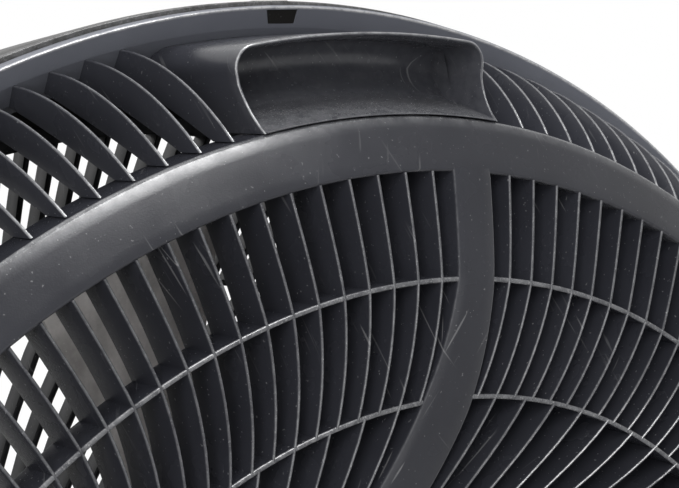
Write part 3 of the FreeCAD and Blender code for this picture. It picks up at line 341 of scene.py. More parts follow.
def evenTurns(count):
    # angles all the way round, the last one step short of the first
    return np.linspace(0.0, fullTurn, count, endpoint=False)


def gridFaces(rows, cols, wrapRows=False):
    # one four-corner face between neighbours in both directions of the grid; the columns close up
    r, c = np.meshgrid(np.arange(rows if wrapRows else rows - 1), np.arange(cols), indexing="ij")
    r1, c1 = (r + 1) % rows, (c + 1) % cols
    return np.stack([r * cols + c, r * cols + c1, r1 * cols + c1, r1 * cols + c], axis=-1).reshape(-1, 4)


def endFaces(cols, start):
    # a ladder of faces across a closed row: point i pairs with point cols - 1 - i
    i = np.arange(cols // 2 - 1)
    return start + np.stack([i, i + 1, cols - 2 - i, cols - 1 - i], axis=-1)


def tubeFaces(rows, cols):
    # a closed row carried along a path, with both ends shut
    return np.concatenate([gridFaces(rows, cols), endFaces(cols, 0), endFaces(cols, (rows - 1) * cols)])


def gather(parts):
    # points, faces and wear-and-highlight values of several parts in one list, each part's faces counted on
    # from the last
    spots, faces, rubAndHighlight, start = [], [], [], 0
    for points, quads, wearAndHighlight in parts:
        points = points.reshape(-1, 3)
        spots.append(points)
        faces.append(quads + start)
        rubAndHighlight.append(wearAndHighlight)
        start += len(points)
    return np.concatenate(spots), np.concatenate(faces), np.concatenate(rubAndHighlight)


def single(points, quads, wearAndHighlight):
    # one grid, with the wear and painted highlight of a row spread over all its rows
    return points, quads, np.broadcast_to(wearAndHighlight, points.shape[:2]).ravel()


def repeated(points, quads, wearAndHighlight):
    # the same grid many times over: points come as copies x rows x cols x 3
    copies, each = points.shape[0], points.shape[1] * points.shape[2]
    faces = (quads[None] + np.arange(copies)[:, None, None] * each).reshape(-1, 4)
    return points, faces, np.broadcast_to(wearAndHighlight, points.shape[:3]).ravel()


def turnedRing(loop, wearAndHighlight, count=360):
    # a closed outline (R, Y) turned once round the fan axis
    points = inFrame(loop[None, :, 0], evenTurns(count)[:, None], loop[None, :, 1])
    return single(points, gridFaces(count, len(loop), True), wearAndHighlight)


def makePiece(name, parts, finish, body, node):
    # one mesh of all the parts, with doubles merged, faces turned outwards, and smooth shading
    # wherever faces meet at less than 40 degrees; it rides on its body and stands for its node
    points, quads, wearAndHighlight = gather(parts)
    mesh = bpy.data.meshes.new(name)
    mesh.vertices.add(len(points))
    mesh.vertices.foreach_set("co", points.ravel())
    mesh.loops.add(quads.size)
    mesh.loops.foreach_set("vertex_index", quads.ravel())
    mesh.polygons.add(len(quads))
    mesh.polygons.foreach_set("loop_start", np.arange(0, quads.size, 4))
    mesh.update(calc_edges=True)
    # the per-point values lighten edges in the finish, as wear and as painted highlight
    mesh.attributes.new("wearAndHighlight", "FLOAT", "POINT").data.foreach_set("value", wearAndHighlight.astype(np.float32))
    work = bmesh.new()
    work.from_mesh(mesh)
    bmesh.ops.remove_doubles(work, verts=work.verts, dist=1e-6)
    bmesh.ops.recalc_face_normals(work, faces=work.faces)
    work.to_mesh(mesh)
    work.free()
    mesh.polygons.foreach_set("use_smooth", np.ones(len(mesh.polygons), bool))
    mesh.set_sharp_from_angle(angle=math.radians(40.0))
    mesh.materials.append(finishes[finish])
    piece = bpy.data.objects.new(name, mesh)
    bpy.context.scene.collection.objects.link(piece)
    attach(piece, body)
    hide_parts(node)
    print(name, len(mesh.polygons), "faces")


# rounded rear edge of the vanes: how far in, how far below the top, and how much wear and painted highlight
# it has
edgeSet = {"in": (0.74, 0.28), "below": (0.55, 0.2, 0.02), "wearAndHighlight": (0.18, 0.2)}


def vaneSection(rear, front, deep):
    # across a vane from side to side: wide at its front edge, narrower and rounded at its rear edge
    side, top = edgeSet["in"]
    low, high, crown = edgeSet["below"]
    across = np.array([-front, -rear, -side * rear, -top * rear, top * rear, side * rear, rear, front])
    below = np.array([deep, low, high, crown, crown, high, low, deep])
    return across, below


# wear and painted highlight on the rounded rear edge of each vane
edgeWearAndHighlight = np.array([0.0, 0.0, *edgeSet["wearAndHighlight"], *edgeSet["wearAndHighlight"][::-1], 0.0, 0.0])

# rear grille: band, rings, swirling vanes and wide spokes on a shallow dome
grilleSet = {
    "rings": [(240.0, 0.0), (225.5, 7.4), (196.7, 12.9), (165.0, 14.3), (122.0, 15.4), (78.0, 16.0)],
    "deep": 12.0, "vaneRear": 0.46, "vaneFront": 0.66, "vaneSteps": 9,
    "zones": [(196.7, 225.4, 150, 0.0), (165.0, 196.7, 150, 0.0), (122.0, 165.0, 90, 0.0),
              (78.0, 122.0, 60, 3.0)],   # inner and outer radius, count, first angle
    "swirlStart": 225.5, "swirlEnd": 142.0, "swirlGain": 7.1, "swirlPower": 3.5,
    "spokes": 5, "spokeAngle": 6.0, "spokeEnds": (77.7, 226.5), "spokeSteps": 60,
    "spokeRadii": [78.0, 165.0, 196.7, 225.5], "spokeWide": [11.0, 16.4, 13.4, 13.8],
    "spokeCut": 0.7, "spokeCrown": 0.06, "spokeWearAndHighlight": 0.15,
    "bandCorners": [(240.0, 0.0), (236.6, 2.05), (232.75, 3.95), (228.8, 5.75), (225.2, 7.4),
                    (225.2, -4.6), (240.0, -12.0)],
    "bandRounds": [1.8, 14.0, 14.0, 14.0, 0.7, 0.6, 0.8],
    "bandWearAndHighlight": ([225.2, 225.8, 238.6, 239.4], [0.18, 0.0, 0.0, 0.25]),
    "ringHalf": 0.7, "ringDrop": 0.2, "ringRounds": [0.56, 0.56, 0.2, 0.2], "ringWearAndHighlight": 0.33,
    "hubCorners": [(78.3, 16.0), (72.0, 16.0), (72.0, 8.0), (8.0, 8.0), (8.0, 2.0), (78.3, 2.0)],
    "hubRounds": [0.8, 0.8, 0.5, 0.3, 0.3, 0.5], "hubWearAndHighlight": 0.08,
    "postAngles": [60.0, 180.0, 300.0], "postRadius": 54.0, "postSteps": 24,
    "postCorners": [(4.5, 8.0), (4.5, 31.2), (1.55, 31.2), (1.55, 8.0)], "postRounds": [0.0, 0.4, 0.3, 0.0]}


def riseOf(radius):
    # dome height by straight runs between the rings
    rings = grilleSet["rings"][::-1]
    return np.interp(radius, [r for r, y in rings], [y for r, y in rings])


def swirlOf(radius):
    # angle = -(gain q^p) - slope ln(held / R), with q = (start - held) / band radius, held = max(R, end)
    band = grilleSet["rings"][0][0]
    held = np.maximum(radius, grilleSet["swirlEnd"])
    q = np.maximum(grilleSet["swirlStart"] - held, 0.0) / band
    p = grilleSet["swirlPower"]
    slope = grilleSet["swirlGain"] * p * q ** (p - 1.0) * held / band
    return -grilleSet["swirlGain"] * q ** p - slope * np.log(held / radius), slope


def sweptBars(radius, angle, rise, across, below, bases):
    # section points (across, below the rear edge) carried along the line (R, A, Y), then turned to
    # each base angle: X = X0 cos b - Z0 sin b, Z = Z0 cos b + X0 sin b
    x0, z0 = -radius * np.sin(angle), radius * np.cos(angle)
    tx, tz = np.gradient(x0), np.gradient(z0)
    long = np.hypot(tx, tz)
    x = x0[:, None] + across * (tz / long)[:, None]
    z = z0[:, None] - across * (tx / long)[:, None]
    y = rise[:, None] - below
    turn = np.asarray(bases)[:, None, None]
    spots = [x * np.cos(turn) - z * np.sin(turn),
             np.broadcast_to(y, (len(bases),) + y.shape) + headAt["depth"],
             z * np.cos(turn) + x * np.sin(turn) + headAt["height"]]
    return np.stack(spots, axis=-1) / 1000.0


parts = []
deep = grilleSet["deep"]
spokes = grilleSet["spokes"]
spokeBases = np.radians(grilleSet["spokeAngle"] + 360.0 / spokes * np.arange(spokes))
across, below = vaneSection(grilleSet["vaneRear"], grilleSet["vaneFront"], deep)
vaneFaces = tubeFaces(grilleSet["vaneSteps"], len(across))
for inner, outer, count, first in grilleSet["zones"]:
    # vanes that a spoke would cover are left out
    pitch = 360.0 / count
    middle = (inner + outer) / 2.0
    wide = np.interp(middle, grilleSet["spokeRadii"], grilleSet["spokeWide"])
    lean = math.hypot(1.0, float(swirlOf(np.array(middle))[1]))
    cover = math.radians(math.degrees(wide * lean / (2.0 * middle)) + pitch / 3.0)
    bases = np.radians(first + pitch * np.arange(count))
    away = apart(bases[:, None], spokeBases[None]).min(axis=1)
    radius = np.linspace(inner, outer, grilleSet["vaneSteps"])
    points = sweptBars(radius, swirlOf(radius)[0], riseOf(radius), across[None], below[None],
                       bases[away > cover])
    parts.append(repeated(points, vaneFaces, edgeWearAndHighlight))
radius = np.linspace(*grilleSet["spokeEnds"], grilleSet["spokeSteps"])
half = np.interp(radius, grilleSet["spokeRadii"], grilleSet["spokeWide"])[:, None] / 2.0
cut, crown, rubAndHighlight = grilleSet["spokeCut"], grilleSet["spokeCrown"], grilleSet["spokeWearAndHighlight"]
spokeAcross = np.concatenate([-half, -half, -half + 0.3 * cut, -half + cut, -0.4 * half, 0.4 * half,
                              half - cut, half - 0.3 * cut, half, half], axis=1)
spokeBelow = np.array([deep, cut, 0.3 * cut, 0.0, -crown, -crown, 0.0, 0.3 * cut, cut, deep])
# wear and painted highlight on the spokes' rounded rear corners
spokeWearAndHighlight = np.array([0.0, 0.0, rubAndHighlight, 0.0, 0.0, 0.0, 0.0, rubAndHighlight, 0.0, 0.0])
points = sweptBars(radius, swirlOf(radius)[0], riseOf(radius), spokeAcross, spokeBelow[None], spokeBases)
parts.append(repeated(points, tubeFaces(len(radius), len(spokeBelow)), spokeWearAndHighlight))
bandLoop = roundedLoop(grilleSet["bandCorners"], grilleSet["bandRounds"], 5)[0]
# wear and painted highlight on the band's rounded outer and inner edges
bandWearAndHighlight = np.interp(bandLoop[:, 0], *grilleSet["bandWearAndHighlight"]) * (bandLoop[:, 1] > -1.0)
parts.append(turnedRing(bandLoop, bandWearAndHighlight))
ringHalf = grilleSet["ringHalf"]
for r, y in grilleSet["rings"][2:5]:
    y = y - grilleSet["ringDrop"]   # just under the spokes
    ringLoop, ringShare = roundedLoop(
        [(r + ringHalf, y), (r - ringHalf, y), (r - ringHalf, y - deep), (r + ringHalf, y - deep)],
        grilleSet["ringRounds"])
    # painted highlight: only the tops of the rings are lightened, where they catch the light, together with
    # wear
    onTop = (ringLoop[:, 1] > y - 1.0) & (np.abs(ringLoop[:, 0] - r) < 0.95 * ringHalf)
    parts.append(turnedRing(ringLoop, grilleSet["ringWearAndHighlight"] * ringShare * onTop, 300))
hubLoop, hubShare = roundedLoop(grilleSet["hubCorners"], grilleSet["hubRounds"])
# wear and painted highlight on the hub's rounded edges
parts.append(turnedRing(hubLoop, grilleSet["hubWearAndHighlight"] * hubShare, 200))
postLoop, postShare = roundedLoop(grilleSet["postCorners"], grilleSet["postRounds"], 3)
turn = evenTurns(grilleSet["postSteps"])[:, None]
for base in np.radians(grilleSet["postAngles"]):   # three screw posts under the switch case
    x = -grilleSet["postRadius"] * np.sin(base) + postLoop[None, :, 0] * np.cos(turn)
    z = grilleSet["postRadius"] * np.cos(base) + postLoop[None, :, 0] * np.sin(turn)
    y = np.broadcast_to(postLoop[None, :, 1], x.shape)
    points = np.stack([x, y + headAt["depth"], z + headAt["height"]], axis=-1) / 1000.0
    parts.append(single(points, gridFaces(len(turn), len(postLoop), True), postShare))
makePiece("rearGrille", parts, "grilleBlack", "head", "rear_grille")

# side vanes: plates between two bowed edges, each an arc through three points (R, Y)
sideSet = {"rearArc": ((264.5, -45.6), (256.4, -20.3), (240.3, -1.5)),
           "frontArc": ((258.8, -51.2), (249.3, -28.6), (240.3, -9.8)),
           "steps": 16, "count": 150, "skip": 5, "phase": 0.4, "rear": 0.45, "wide": 0.66}
steps, skip, count = sideSet["steps"], sideSet["skip"], sideSet["count"]
rearLine = arcThrough(*sideSet["rearArc"], steps)
frontLine = arcThrough(*sideSet["frontArc"], steps)
inward = frontLine - rearLine
inward = inward / np.linalg.norm(inward, axis=1, keepdims=True)
across, below = vaneSection(sideSet["rear"], sideSet["wide"], 0.0)
line = rearLine[:, None] + inward[:, None] * below[None, :, None]
line[:, [0, -1]] = frontLine[:, None]
angle = -np.radians(360.0 / count * np.arange(skip, count - skip + 1) - sideSet["phase"])[:, None, None]
points = inFrame(line[None, ..., 0], angle + across / line[None, ..., 0], line[None, ..., 1])
vaneWearAndHighlight = np.outer(0.7 + 3.2 * np.linspace(0.0, 1.0, steps) ** 3, edgeWearAndHighlight)   # painted highlight over wear, strongest by the band where the edges catch the light
parts = [repeated(points, tubeFaces(steps, len(across)), vaneWearAndHighlight)]
makePiece("sideVanes", parts, "charcoal", "head", "side_vanes")

# rear rim: lip, funnel, orifice and spigot in one turned outline, with six clip windows
rimSet = {"windows": 6, "phase": -0.36, "windowHalf": 5.1, "windowLow": 265.6, "windowHigh": 269.45,
          "windowRadius": 268.0, "floor": -46.9, "highShift": (-1.15, -0.4), "lowShift": (1.1, 0.3),
          "funnel": ([264.5, 270.0], [-45.6, -41.6]), "steps": 360,
          "lip": [(270.7, -42.3), (270.0, -41.6)],
          "inside": [(264.5, -45.6), (258.8, -51.2), (255.6, -58.0), (255.6, -72.0), (258.2, -72.0),
                     (258.2, -58.0), (261.4, -53.0), (264.2, -53.0), (264.2, -62.0), (267.0, -62.0),
                     (267.0, -47.0), (270.7, -47.0)],
          "rounds": [0.5, 0.5, 0.0, 0.0, 1.5, 3.0, 4.0, 1.0, 1.0, 2.0, 1.0, 1.0, 0.6, 0.6, 0.0, 0.4],
          "edge": (270.0, -41.6), "edgeReach": 0.45}


def slopeOf(r):
    # depth of the funnel by a straight run between its two edges
    return np.interp(r, *rimSet["funnel"])


high, low = rimSet["windowHigh"], rimSet["windowLow"]
rimLoop = roundedLoop([*rimSet["lip"], (high, slopeOf(high)), (low, slopeOf(low)), *rimSet["inside"]],
                      rimSet["rounds"])[0]
windowRow = int(np.argmin(np.hypot(rimLoop[:, 0] - high, rimLoop[:, 1] - slopeOf(high))))
windowRadius = rimSet["windowRadius"]
reach = rimSet["windowHalf"] / windowRadius
middles = np.radians(rimSet["phase"] + 360.0 / rimSet["windows"] * np.arange(rimSet["windows"]))
even = evenTurns(rimSet["steps"]) + 0.5 * np.pi / 180.0
offWindow = apart(even[:, None], middles[None]).min(axis=1) > reach * 1.5
angle = np.sort(np.concatenate([even[offWindow], (middles - reach) % fullTurn, middles + reach]))
# each window's four corners are set off a little, so that it narrows downwards
highShift = np.array(rimSet["highShift"]) / windowRadius
lowShift = np.array(rimSet["lowShift"]) / windowRadius
angleGrid = np.repeat(angle[:, None], len(rimLoop), axis=1)
for side, place in enumerate((middles - reach, middles + reach)):
    cols = apart(angle[:, None], place[None]).argmin(axis=0)
    angleGrid[cols, windowRow] += highShift[side]
    angleGrid[cols, windowRow + 1] += lowShift[side]
points = inFrame(rimLoop[None, :, 0], angleGrid, rimLoop[None, :, 1])
faces = gridFaces(len(angle), len(rimLoop), True)
between = angle + ((np.roll(angle, -1) - angle) % fullTurn) / 2.0
inWindow = apart(between[:, None], middles[None]).min(axis=1) < reach
holes = inWindow[:, None] & (np.arange(len(rimLoop))[None] == windowRow)
# painted highlight: the lip's rounded edge is lightened as the thin line of light it catches
fromEdge = np.hypot(rimLoop[:, 0] - rimSet["edge"][0], rimLoop[:, 1] - rimSet["edge"][1])
parts = [single(points, faces[~holes.ravel()], np.where(fromEdge < rimSet["edgeReach"], 1.0, 0.0))]
# walls and floor of the windows
wellRadius = np.array([high, low, low, high])
wellDepth = np.stack([slopeOf(wellRadius), np.full(4, rimSet["floor"])])
wellAngle = middles[:, None, None] + np.array([-reach + highShift[0], -reach + lowShift[0],
                                               reach + lowShift[1], reach + highShift[1]])
wells = inFrame(wellRadius[None, None], wellAngle, wellDepth[None])
wellFaces = np.concatenate([gridFaces(2, 4), np.array([[4, 5, 6, 7]])])
parts.append(repeated(wells, wellFaces, 0.0))
makePiece("rearRim", parts, "slatePaintedLight", "head", "rear_rim")

# carry handle: a bent hood with a rounded rear edge over a scooped basin
scoopSet = {"half": 9.6, "roof": 262.3, "thick": 1.7, "round": 6.5, "foot": 240.3,
            "wallSteps": 16, "cornerSteps": 9, "roofSteps": 13, "edge": 0.48, "edgeSlim": 0.56,
            "rearArc": ((240.3, 0.3), (247.6, -5.8), (253.0, -8.0)), "rearTop": (262.3, -8.0),
            "front": ([240.3, 249.0, 259.3, 262.3], [-23.0, -31.0, -50.3, -47.4]),
            "hoodWearAndHighlight": [0.0, 0.0, 0.1, 0.7, 0.9, 0.6, 0.15, 0.08, 0.08, 0.08, 0.09, 0.1],
            "shelf": [(240.65, 0.3), (242.4, -5.5)],
            "bowl": ((244.7, -14.0), (248.0, -23.2), (254.0, -27.5)),
            "hollow": ((255.8, -27.5), (259.3, -25.7), (260.9, -21.9)),
            "under": [(260.9, -46.0), (259.0, -49.6), (249.0, -31.0), (240.3, -23.0), (240.3, 0.3)],
            "basinSteps": 41, "basinLightAndWear": ([-24.0, -8.0, 0.0], [0.08, 0.28, 0.42])}
roof, thick, foot = scoopSet["roof"], scoopSet["thick"], scoopSet["foot"]


def hoodLine(half, top, r):
    # up one wall, round a corner of radius r, along the roof, and down again:
    # points are (arc length at the roof, R)
    side = math.radians(half) * roof
    wallSteps, roofSteps = scoopSet["wallSteps"], scoopSet["roofSteps"]
    wall = np.stack([np.full(wallSteps, -side), np.linspace(foot, top - r, wallSteps)], axis=-1)
    t = np.linspace(np.pi, 0.5 * np.pi, scoopSet["cornerSteps"])[1:]
    corner = np.stack([-side + r + r * np.cos(t), top - r + r * np.sin(t)], axis=-1)
    flat = np.stack([np.linspace(-side + r, 0.0, roofSteps)[1:], np.full(roofSteps - 1, top)], axis=-1)
    left = np.concatenate([wall, corner, flat])
    return np.concatenate([left, (left * [-1.0, 1.0])[-2::-1]])


def rearOf(r):
    # depth of the hood's rear edge: an arc up the wall, then level
    arc = np.concatenate([arcThrough(*scoopSet["rearArc"], 12), [scoopSet["rearTop"]]])
    return np.interp(r, arc[:, 0], arc[:, 1])


def frontOf(r):
    # depth of the hood's front edge by straight runs
    return np.interp(r, *scoopSet["front"])


outer = hoodLine(scoopSet["half"], roof, scoopSet["round"])
inner = hoodLine(scoopSet["half"] - math.degrees(thick / roof), roof - thick, scoopSet["round"] - thick)
slim = outer + scoopSet["edgeSlim"] * (inner - outer)   # the wall thins to its rear edge
middle = (outer + slim) / 2.0
ends = rearOf(middle[:, 1])
edge = scoopSet["edge"]
rows = [(outer, frontOf(outer[:, 1])), (outer, ends - 4.0), (outer, ends - edge)]
for turn in np.linspace(0.0, np.pi, 8)[1:-1]:
    rows.append((middle + (outer - middle) * math.cos(turn), ends - edge + edge * math.sin(turn)))
rows += [(slim, ends - edge), (inner, ends - 4.0), (inner, np.minimum(frontOf(inner[:, 1]), ends - 5.0))]
line = np.stack([spot for spot, depth in rows], axis=1)
depth = np.stack([depth for spot, depth in rows], axis=1)
points = inFrame(line[..., 1], line[..., 0] / roof, depth)
# painted highlight over wear on the hood's rounded rear edge
parts = [single(points, tubeFaces(len(outer), len(rows)), np.array(scoopSet["hoodWearAndHighlight"]))]
basinLoop = np.concatenate([scoopSet["shelf"], arcThrough(*scoopSet["bowl"], 13),
                            arcThrough(*scoopSet["hollow"], 6), scoopSet["under"]])
# the basin ends in the middle of the hood's wall, and follows its rounded corner
bend = scoopSet["round"] - thick / 2.0
above = np.maximum(basinLoop[:, 0] - (roof - scoopSet["round"]), 0.0)
corner = np.sqrt(np.maximum(bend ** 2 - above ** 2, 0.0))
wide = math.radians(scoopSet["half"]) * roof - scoopSet["round"] + corner
along = np.linspace(-1.0, 1.0, scoopSet["basinSteps"])[:, None]
points = inFrame(basinLoop[None, :, 0], along * wide / roof, basinLoop[None, :, 1])
# painted light: the shelf is lighter towards its open rear edge, where light falls in under the hood
basinLightAndWear = np.interp(basinLoop[:, 1], *scoopSet["basinLightAndWear"]) * (basinLoop[:, 0] > foot + 0.2)
parts.append(single(points, tubeFaces(len(along), len(basinLoop)), basinLightAndWear))
makePiece("handleScoop", parts, "charcoal", "head", "handle_scoop")

# front shell: drum rolling in to the mouth, pivot bosses, clips and their tongues
shellSet = {"rollOut": ((268.4, -88.0), (263.0, -106.5), (252.5, -121.5)),
            "rollIn": ((250.5, -119.5), (260.6, -105.1), (265.6, -87.6)), "rollSteps": 14,
            "lip": [(272.1, -48.2), (272.1, -52.0)], "mouth": [(238.1, -135.0), (238.1, -132.0)],
            "inside": [(267.3, -70.0), (267.3, -48.2)], "lipWear": 0.2,
            "bossCorners": [(6.45, 267.4), (6.45, 286.0), (19.0, 286.0), (19.0, 267.4)],
            "bossRounds": [0.0, 0.4, 1.2, 0.0], "bossSteps": 64,
            "clips": 6, "phase": -0.36,
            "padCorners": [(-6.25, -48.3), (6.25, -48.3), (6.25, -58.0), (-6.25, -58.0)],
            "padRounds": [0.5, 0.5, 1.5, 1.5], "padMiddle": 53.2, "padRadius": 272.0, "padWear": 0.2,
            "padLevels": [-1.4, -0.1, 0.15], "padShrink": [1.0, 1.0, 0.96],
            "wall": ([-88.0, -52.0, -48.2], [268.4, 272.1, 272.1]),
            "tongueCorners": [(-3.95, 265.65), (5.35, 265.65), (4.65, 269.4), (-6.2, 269.4)],
            "tongueRound": 0.1, "tongueSunk": 0.5, "tongueFoot": -58.0}
rollSteps = shellSet["rollSteps"]
corners = [*shellSet["lip"], *arcThrough(*shellSet["rollOut"], rollSteps), *shellSet["mouth"],
           *arcThrough(*shellSet["rollIn"], rollSteps), *shellSet["inside"]]
radii = [0.5, 12.0, 8.0] + [0.0] * (rollSteps - 1) + [0.3, 0.3] + [0.0] * rollSteps + [4.0, 0.4]
loop, share = roundedLoop(corners, radii)
parts = [turnedRing(loop, share * (loop[:, 1] > -50.0) * shellSet["lipWear"])]
bossLoop, bossShare = roundedLoop(shellSet["bossCorners"], shellSet["bossRounds"])
turn = evenTurns(shellSet["bossSteps"])[:, None]
for side in (1.0, -1.0):
    y = bossLoop[None, :, 0] * np.cos(turn)
    z = bossLoop[None, :, 0] * np.sin(turn) + headAt["height"]
    x = np.broadcast_to(side * bossLoop[None, :, 1], y.shape)
    points = np.stack([x, y, z], axis=-1) / 1000.0
    parts.append(single(points, gridFaces(len(turn), len(bossLoop), True), bossShare))
clips = shellSet["clips"]
base = np.radians(shellSet["phase"] + 360.0 / clips * np.arange(clips))[:, None, None]
padLoop = roundedLoop(shellSet["padCorners"], shellSet["padRounds"], 3)[0]
shrink = np.array(shellSet["padShrink"])[:, None]
wall = np.interp(padLoop[:, 1], *shellSet["wall"])   # the drum wall under the pad
level = wall[None] + np.array(shellSet["padLevels"])[:, None]
middle = shellSet["padMiddle"]
points = inFrame(level[None], base + padLoop[None, None, :, 0] * shrink / shellSet["padRadius"],
                 -middle + (padLoop[None, None, :, 1] + middle) * shrink)
parts.append(repeated(points, tubeFaces(len(shrink), len(padLoop)), shellSet["padWear"]))
tongueLoop = roundedLoop(shellSet["tongueCorners"], [shellSet["tongueRound"]] * 4, 2)[0]
tongueEnd = slopeOf(tongueLoop[:, 1]) - shellSet["tongueSunk"]   # slopes with the funnel around it
tongueDepth = np.stack([tongueEnd, np.full(len(tongueLoop), shellSet["tongueFoot"])])
points = inFrame(tongueLoop[None, None, :, 1], base + tongueLoop[None, None, :, 0] / windowRadius,
                 tongueDepth[None])
parts.append(repeated(points, tubeFaces(2, len(tongueLoop)), 0.0))
makePiece("frontShell", parts, "warmGrey", "head", "front_shell")

# front grille: two zones of swirling bars between three rings
frontSet = {"face": -139.0, "rear": -130.8, "half": 1.0, "steps": 7, "overlap": 0.4, "turnRadius": 200.0,
            "zones": [(185.0, 232.2, 150, 0.4, 1.97), (93.0, 183.0, 75, 0.82, 0.48)],
            "rings": [(232.2, 238.2), (183.0, 185.0), (90.0, 93.0)], "ringRounds": [0.5, 0.5, 0.8, 0.8],
            "rearCut": 0.45, "faceCut": 0.7, "rearWearAndHighlight": 0.05, "faceWearAndHighlight": 0.08, "ringWearAndHighlight": 0.06}
face, rear, half = frontSet["face"], frontSet["rear"], frontSet["half"]
deep, steps, overlap = rear - face, frontSet["steps"], frontSet["overlap"]
rearCut, faceCut = frontSet["rearCut"], deep - frontSet["faceCut"]
barAcross = np.array([-half, -0.6 * half, 0.6 * half, half, half, 0.5 * half, -0.5 * half, -half])
barBelow = np.array([rearCut, 0.0, 0.0, rearCut, faceCut, deep, deep, faceCut])
rearWearAndHighlight, faceWearAndHighlight = frontSet["rearWearAndHighlight"], frontSet["faceWearAndHighlight"]
# wear and painted highlight on the bars' rounded corners and the rings' edges
barWearAndHighlight = np.array([0.0, rearWearAndHighlight, rearWearAndHighlight, 0.0, 0.0, faceWearAndHighlight, faceWearAndHighlight, 0.0])
parts = []
for inner, outer, count, turn, first in frontSet["zones"]:
    # bar line: A = turn ln(R / turning radius)
    radius = np.linspace(inner - overlap, outer + overlap, steps)
    bases = np.radians(first + 360.0 / count * np.arange(count))
    points = sweptBars(radius, turn * np.log(radius / frontSet["turnRadius"]), np.full(steps, rear),
                       barAcross[None], barBelow[None], bases)
    parts.append(repeated(points, tubeFaces(steps, len(barAcross)), barWearAndHighlight))
for inner, outer in frontSet["rings"]:
    loop, share = roundedLoop([(outer, rear), (inner, rear), (inner, face), (outer, face)],
                              frontSet["ringRounds"], 3)
    parts.append(turnedRing(loop, frontSet["ringWearAndHighlight"] * share, 300))
makePiece("frontGrille", parts, "frontPaintedShade", "head", "front_grille")

# camera, from the grille's circles in the photograph
cameraSet = {"at": (0.29387, 0.42053, 0.57320), "right": (-0.78475, 0.61940, -0.02211),
             "up": (-0.08306, -0.06976, 0.99410), "ahead": (-0.61421, -0.78197, -0.10619),
             "lens": 91.75, "sensor": 36.0, "nearest": 0.01}
eye = bpy.data.objects.new("camera", bpy.data.cameras.new("camera"))
eye.data.lens = cameraSet["lens"]
eye.data.sensor_width = cameraSet["sensor"]
eye.data.clip_start = cameraSet["nearest"]
turn = Matrix((cameraSet["right"], cameraSet["up"], tuple(-v for v in cameraSet["ahead"]))).transposed()
eye.matrix_world = Matrix.Translation(cameraSet["at"]) @ turn.normalized().to_4x4()
bpy.context.scene.collection.objects.link(eye)
bpy.context.scene.camera = eye
print("camera at", cameraSet["at"])

# soft lamps: where, what they point at, size in metres and power in watts
lampSet = {
    "keyLamp": {"at": (-0.314, 1.04, 1.61), "to": (0.08, 0.065, 0.54), "size": (0.7, 0.36), "power": 3.0},
    "glossLamp": {"at": (-0.293, 0.772, 1.81), "to": (0.08, 0.065, 0.54), "size": (0.63, 0.6), "power": 31.0},
    "leftLamp": {"at": (1.0, 1.2, 1.6), "to": (0.0, 0.05, 0.45), "size": (1.0, 1.0), "power": 17.5},
    "sideLamp": {"at": (1.6, 1.5, 0.8), "to": (0.0, 0.05, 0.45), "size": (1.0, 1.0), "power": 17.5},
    "lowLamp": {"at": (-0.4, 2.0, 0.5), "to": (0.0, 0.05, 0.5), "size": (1.2, 0.6), "power": 4.0},
    "topLamp": {"at": (0.15, -0.15, 2.2), "to": (0.0, 0.0, 0.45), "size": (1.4, 1.2), "power": 18.0},
    "frontLamp": {"at": (0.3, -1.7, 1.5), "to": (0.0, 0.05, 0.45), "size": (1.6, 1.6), "power": 6.0}}
for name, spec in lampSet.items():
    lamp = bpy.data.objects.new(name, bpy.data.lights.new(name, "AREA"))
    lamp.data.shape = "RECTANGLE"
    lamp.data.size, lamp.data.size_y = spec["size"]
    lamp.data.energy = spec["power"]
    aim = Vector(spec["to"]) - Vector(spec["at"])
    lamp.matrix_world = Matrix.Translation(spec["at"]) @ aim.to_track_quat("-Z", "Y").to_matrix().to_4x4()
    lamp.visible_diffuse = name != "glossLamp"   # that one gives only the sheen on edges and band
    bpy.context.scene.collection.objects.link(lamp)


def whiteWhenSeen(tree):
    # 1 for rays that look at the surroundings, straight or by a mirror or glass, 0 for the light they give
    paths = tree.nodes.new("ShaderNodeLightPath")
    total = paths.outputs["Is Camera Ray"]
    for kind in ("Is Glossy Ray", "Is Transmission Ray"):
        larger = tree.nodes.new("ShaderNodeMath")
        larger.operation = "MAXIMUM"
        tree.links.new(total, larger.inputs[0])
        tree.links.new(paths.outputs[kind], larger.inputs[1])
        total = larger.outputs[0]
    return total


def mixShaders(tree, share, first, second):
    # first + share * (second - first)
    mix = tree.nodes.new("ShaderNodeMixShader")
    for place, source in enumerate((share, first, second)):
        tree.links.new(source, mix.inputs[place])
    return mix.outputs[0]


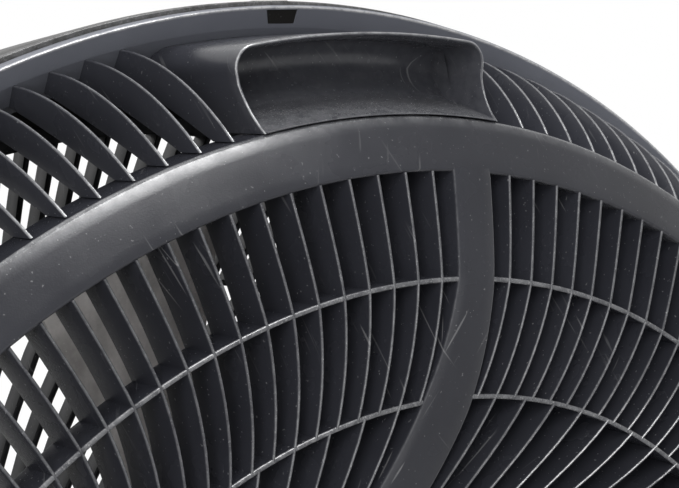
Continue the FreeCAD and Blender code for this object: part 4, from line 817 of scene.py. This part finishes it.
# white surroundings that give little light
worldSet = {"white": (1.0, 1.0, 1.0, 1.0), "light": 0.12}
world = bpy.data.worlds.new("studio")
world.use_nodes = True
bpy.context.scene.world = world
tree = world.node_tree
seen = tree.nodes["Background"]
seen.inputs["Color"].default_value = worldSet["white"]
seen.inputs["Strength"].default_value = 1.0
light = add(tree, "ShaderNodeBackground", Color=worldSet["white"], Strength=worldSet["light"])
both = mixShaders(tree, whiteWhenSeen(tree), light.outputs[0], seen.outputs[0])
tree.links.new(both, tree.nodes["World Output"].inputs["Surface"])

# pale floor; far from the fan it is as white as the surroundings to the rays that see it
floorSet = {"reach": 4.0, "dark": (0.82, 0.82, 0.81), "light": (0.86, 0.86, 0.85), "patch": 3.0, "rough": 0.8,
            "fadeFrom": 0.7, "fadeTo": 1.5}
reach = floorSet["reach"]
ground = bpy.data.meshes.new("studioFloor")
ground.from_pydata([(-reach, -reach, 0), (reach, -reach, 0), (reach, reach, 0), (-reach, reach, 0)], [],
                   [(0, 1, 2, 3)])
floor = bpy.data.objects.new("studioFloor", ground)
bpy.context.scene.collection.objects.link(floor)
mat, tree, shader, spot = startFinish("paleFloor")
tone = spreadOf(tree, noiseOf(tree, spot, floorSet["patch"], 3.0), floorSet["dark"], floorSet["light"])
tree.links.new(tone, shader.inputs["Base Color"])
shader.inputs["Roughness"].default_value = floorSet["rough"]
far = tree.nodes.new("ShaderNodeVectorMath")
far.operation = "LENGTH"
tree.links.new(spot, far.inputs[0])
fade = tree.nodes.new("ShaderNodeMapRange")
fade.inputs["From Min"].default_value = floorSet["fadeFrom"]
fade.inputs["From Max"].default_value = floorSet["fadeTo"]
tree.links.new(far.outputs["Value"], fade.inputs["Value"])
share = tree.nodes.new("ShaderNodeMath")
share.operation = "MULTIPLY"
tree.links.new(fade.outputs["Result"], share.inputs[0])
tree.links.new(whiteWhenSeen(tree), share.inputs[1])
glow = add(tree, "ShaderNodeEmission", Color=worldSet["white"], Strength=1.0)
both = mixShaders(tree, share.outputs[0], shader.outputs[0], glow.outputs[0])
tree.links.new(both, tree.nodes["Material Output"].inputs["Surface"])
ground.materials.append(mat)
bpy.context.scene.view_settings.view_transform = "Standard"
print("lamps, floor and surroundings set")
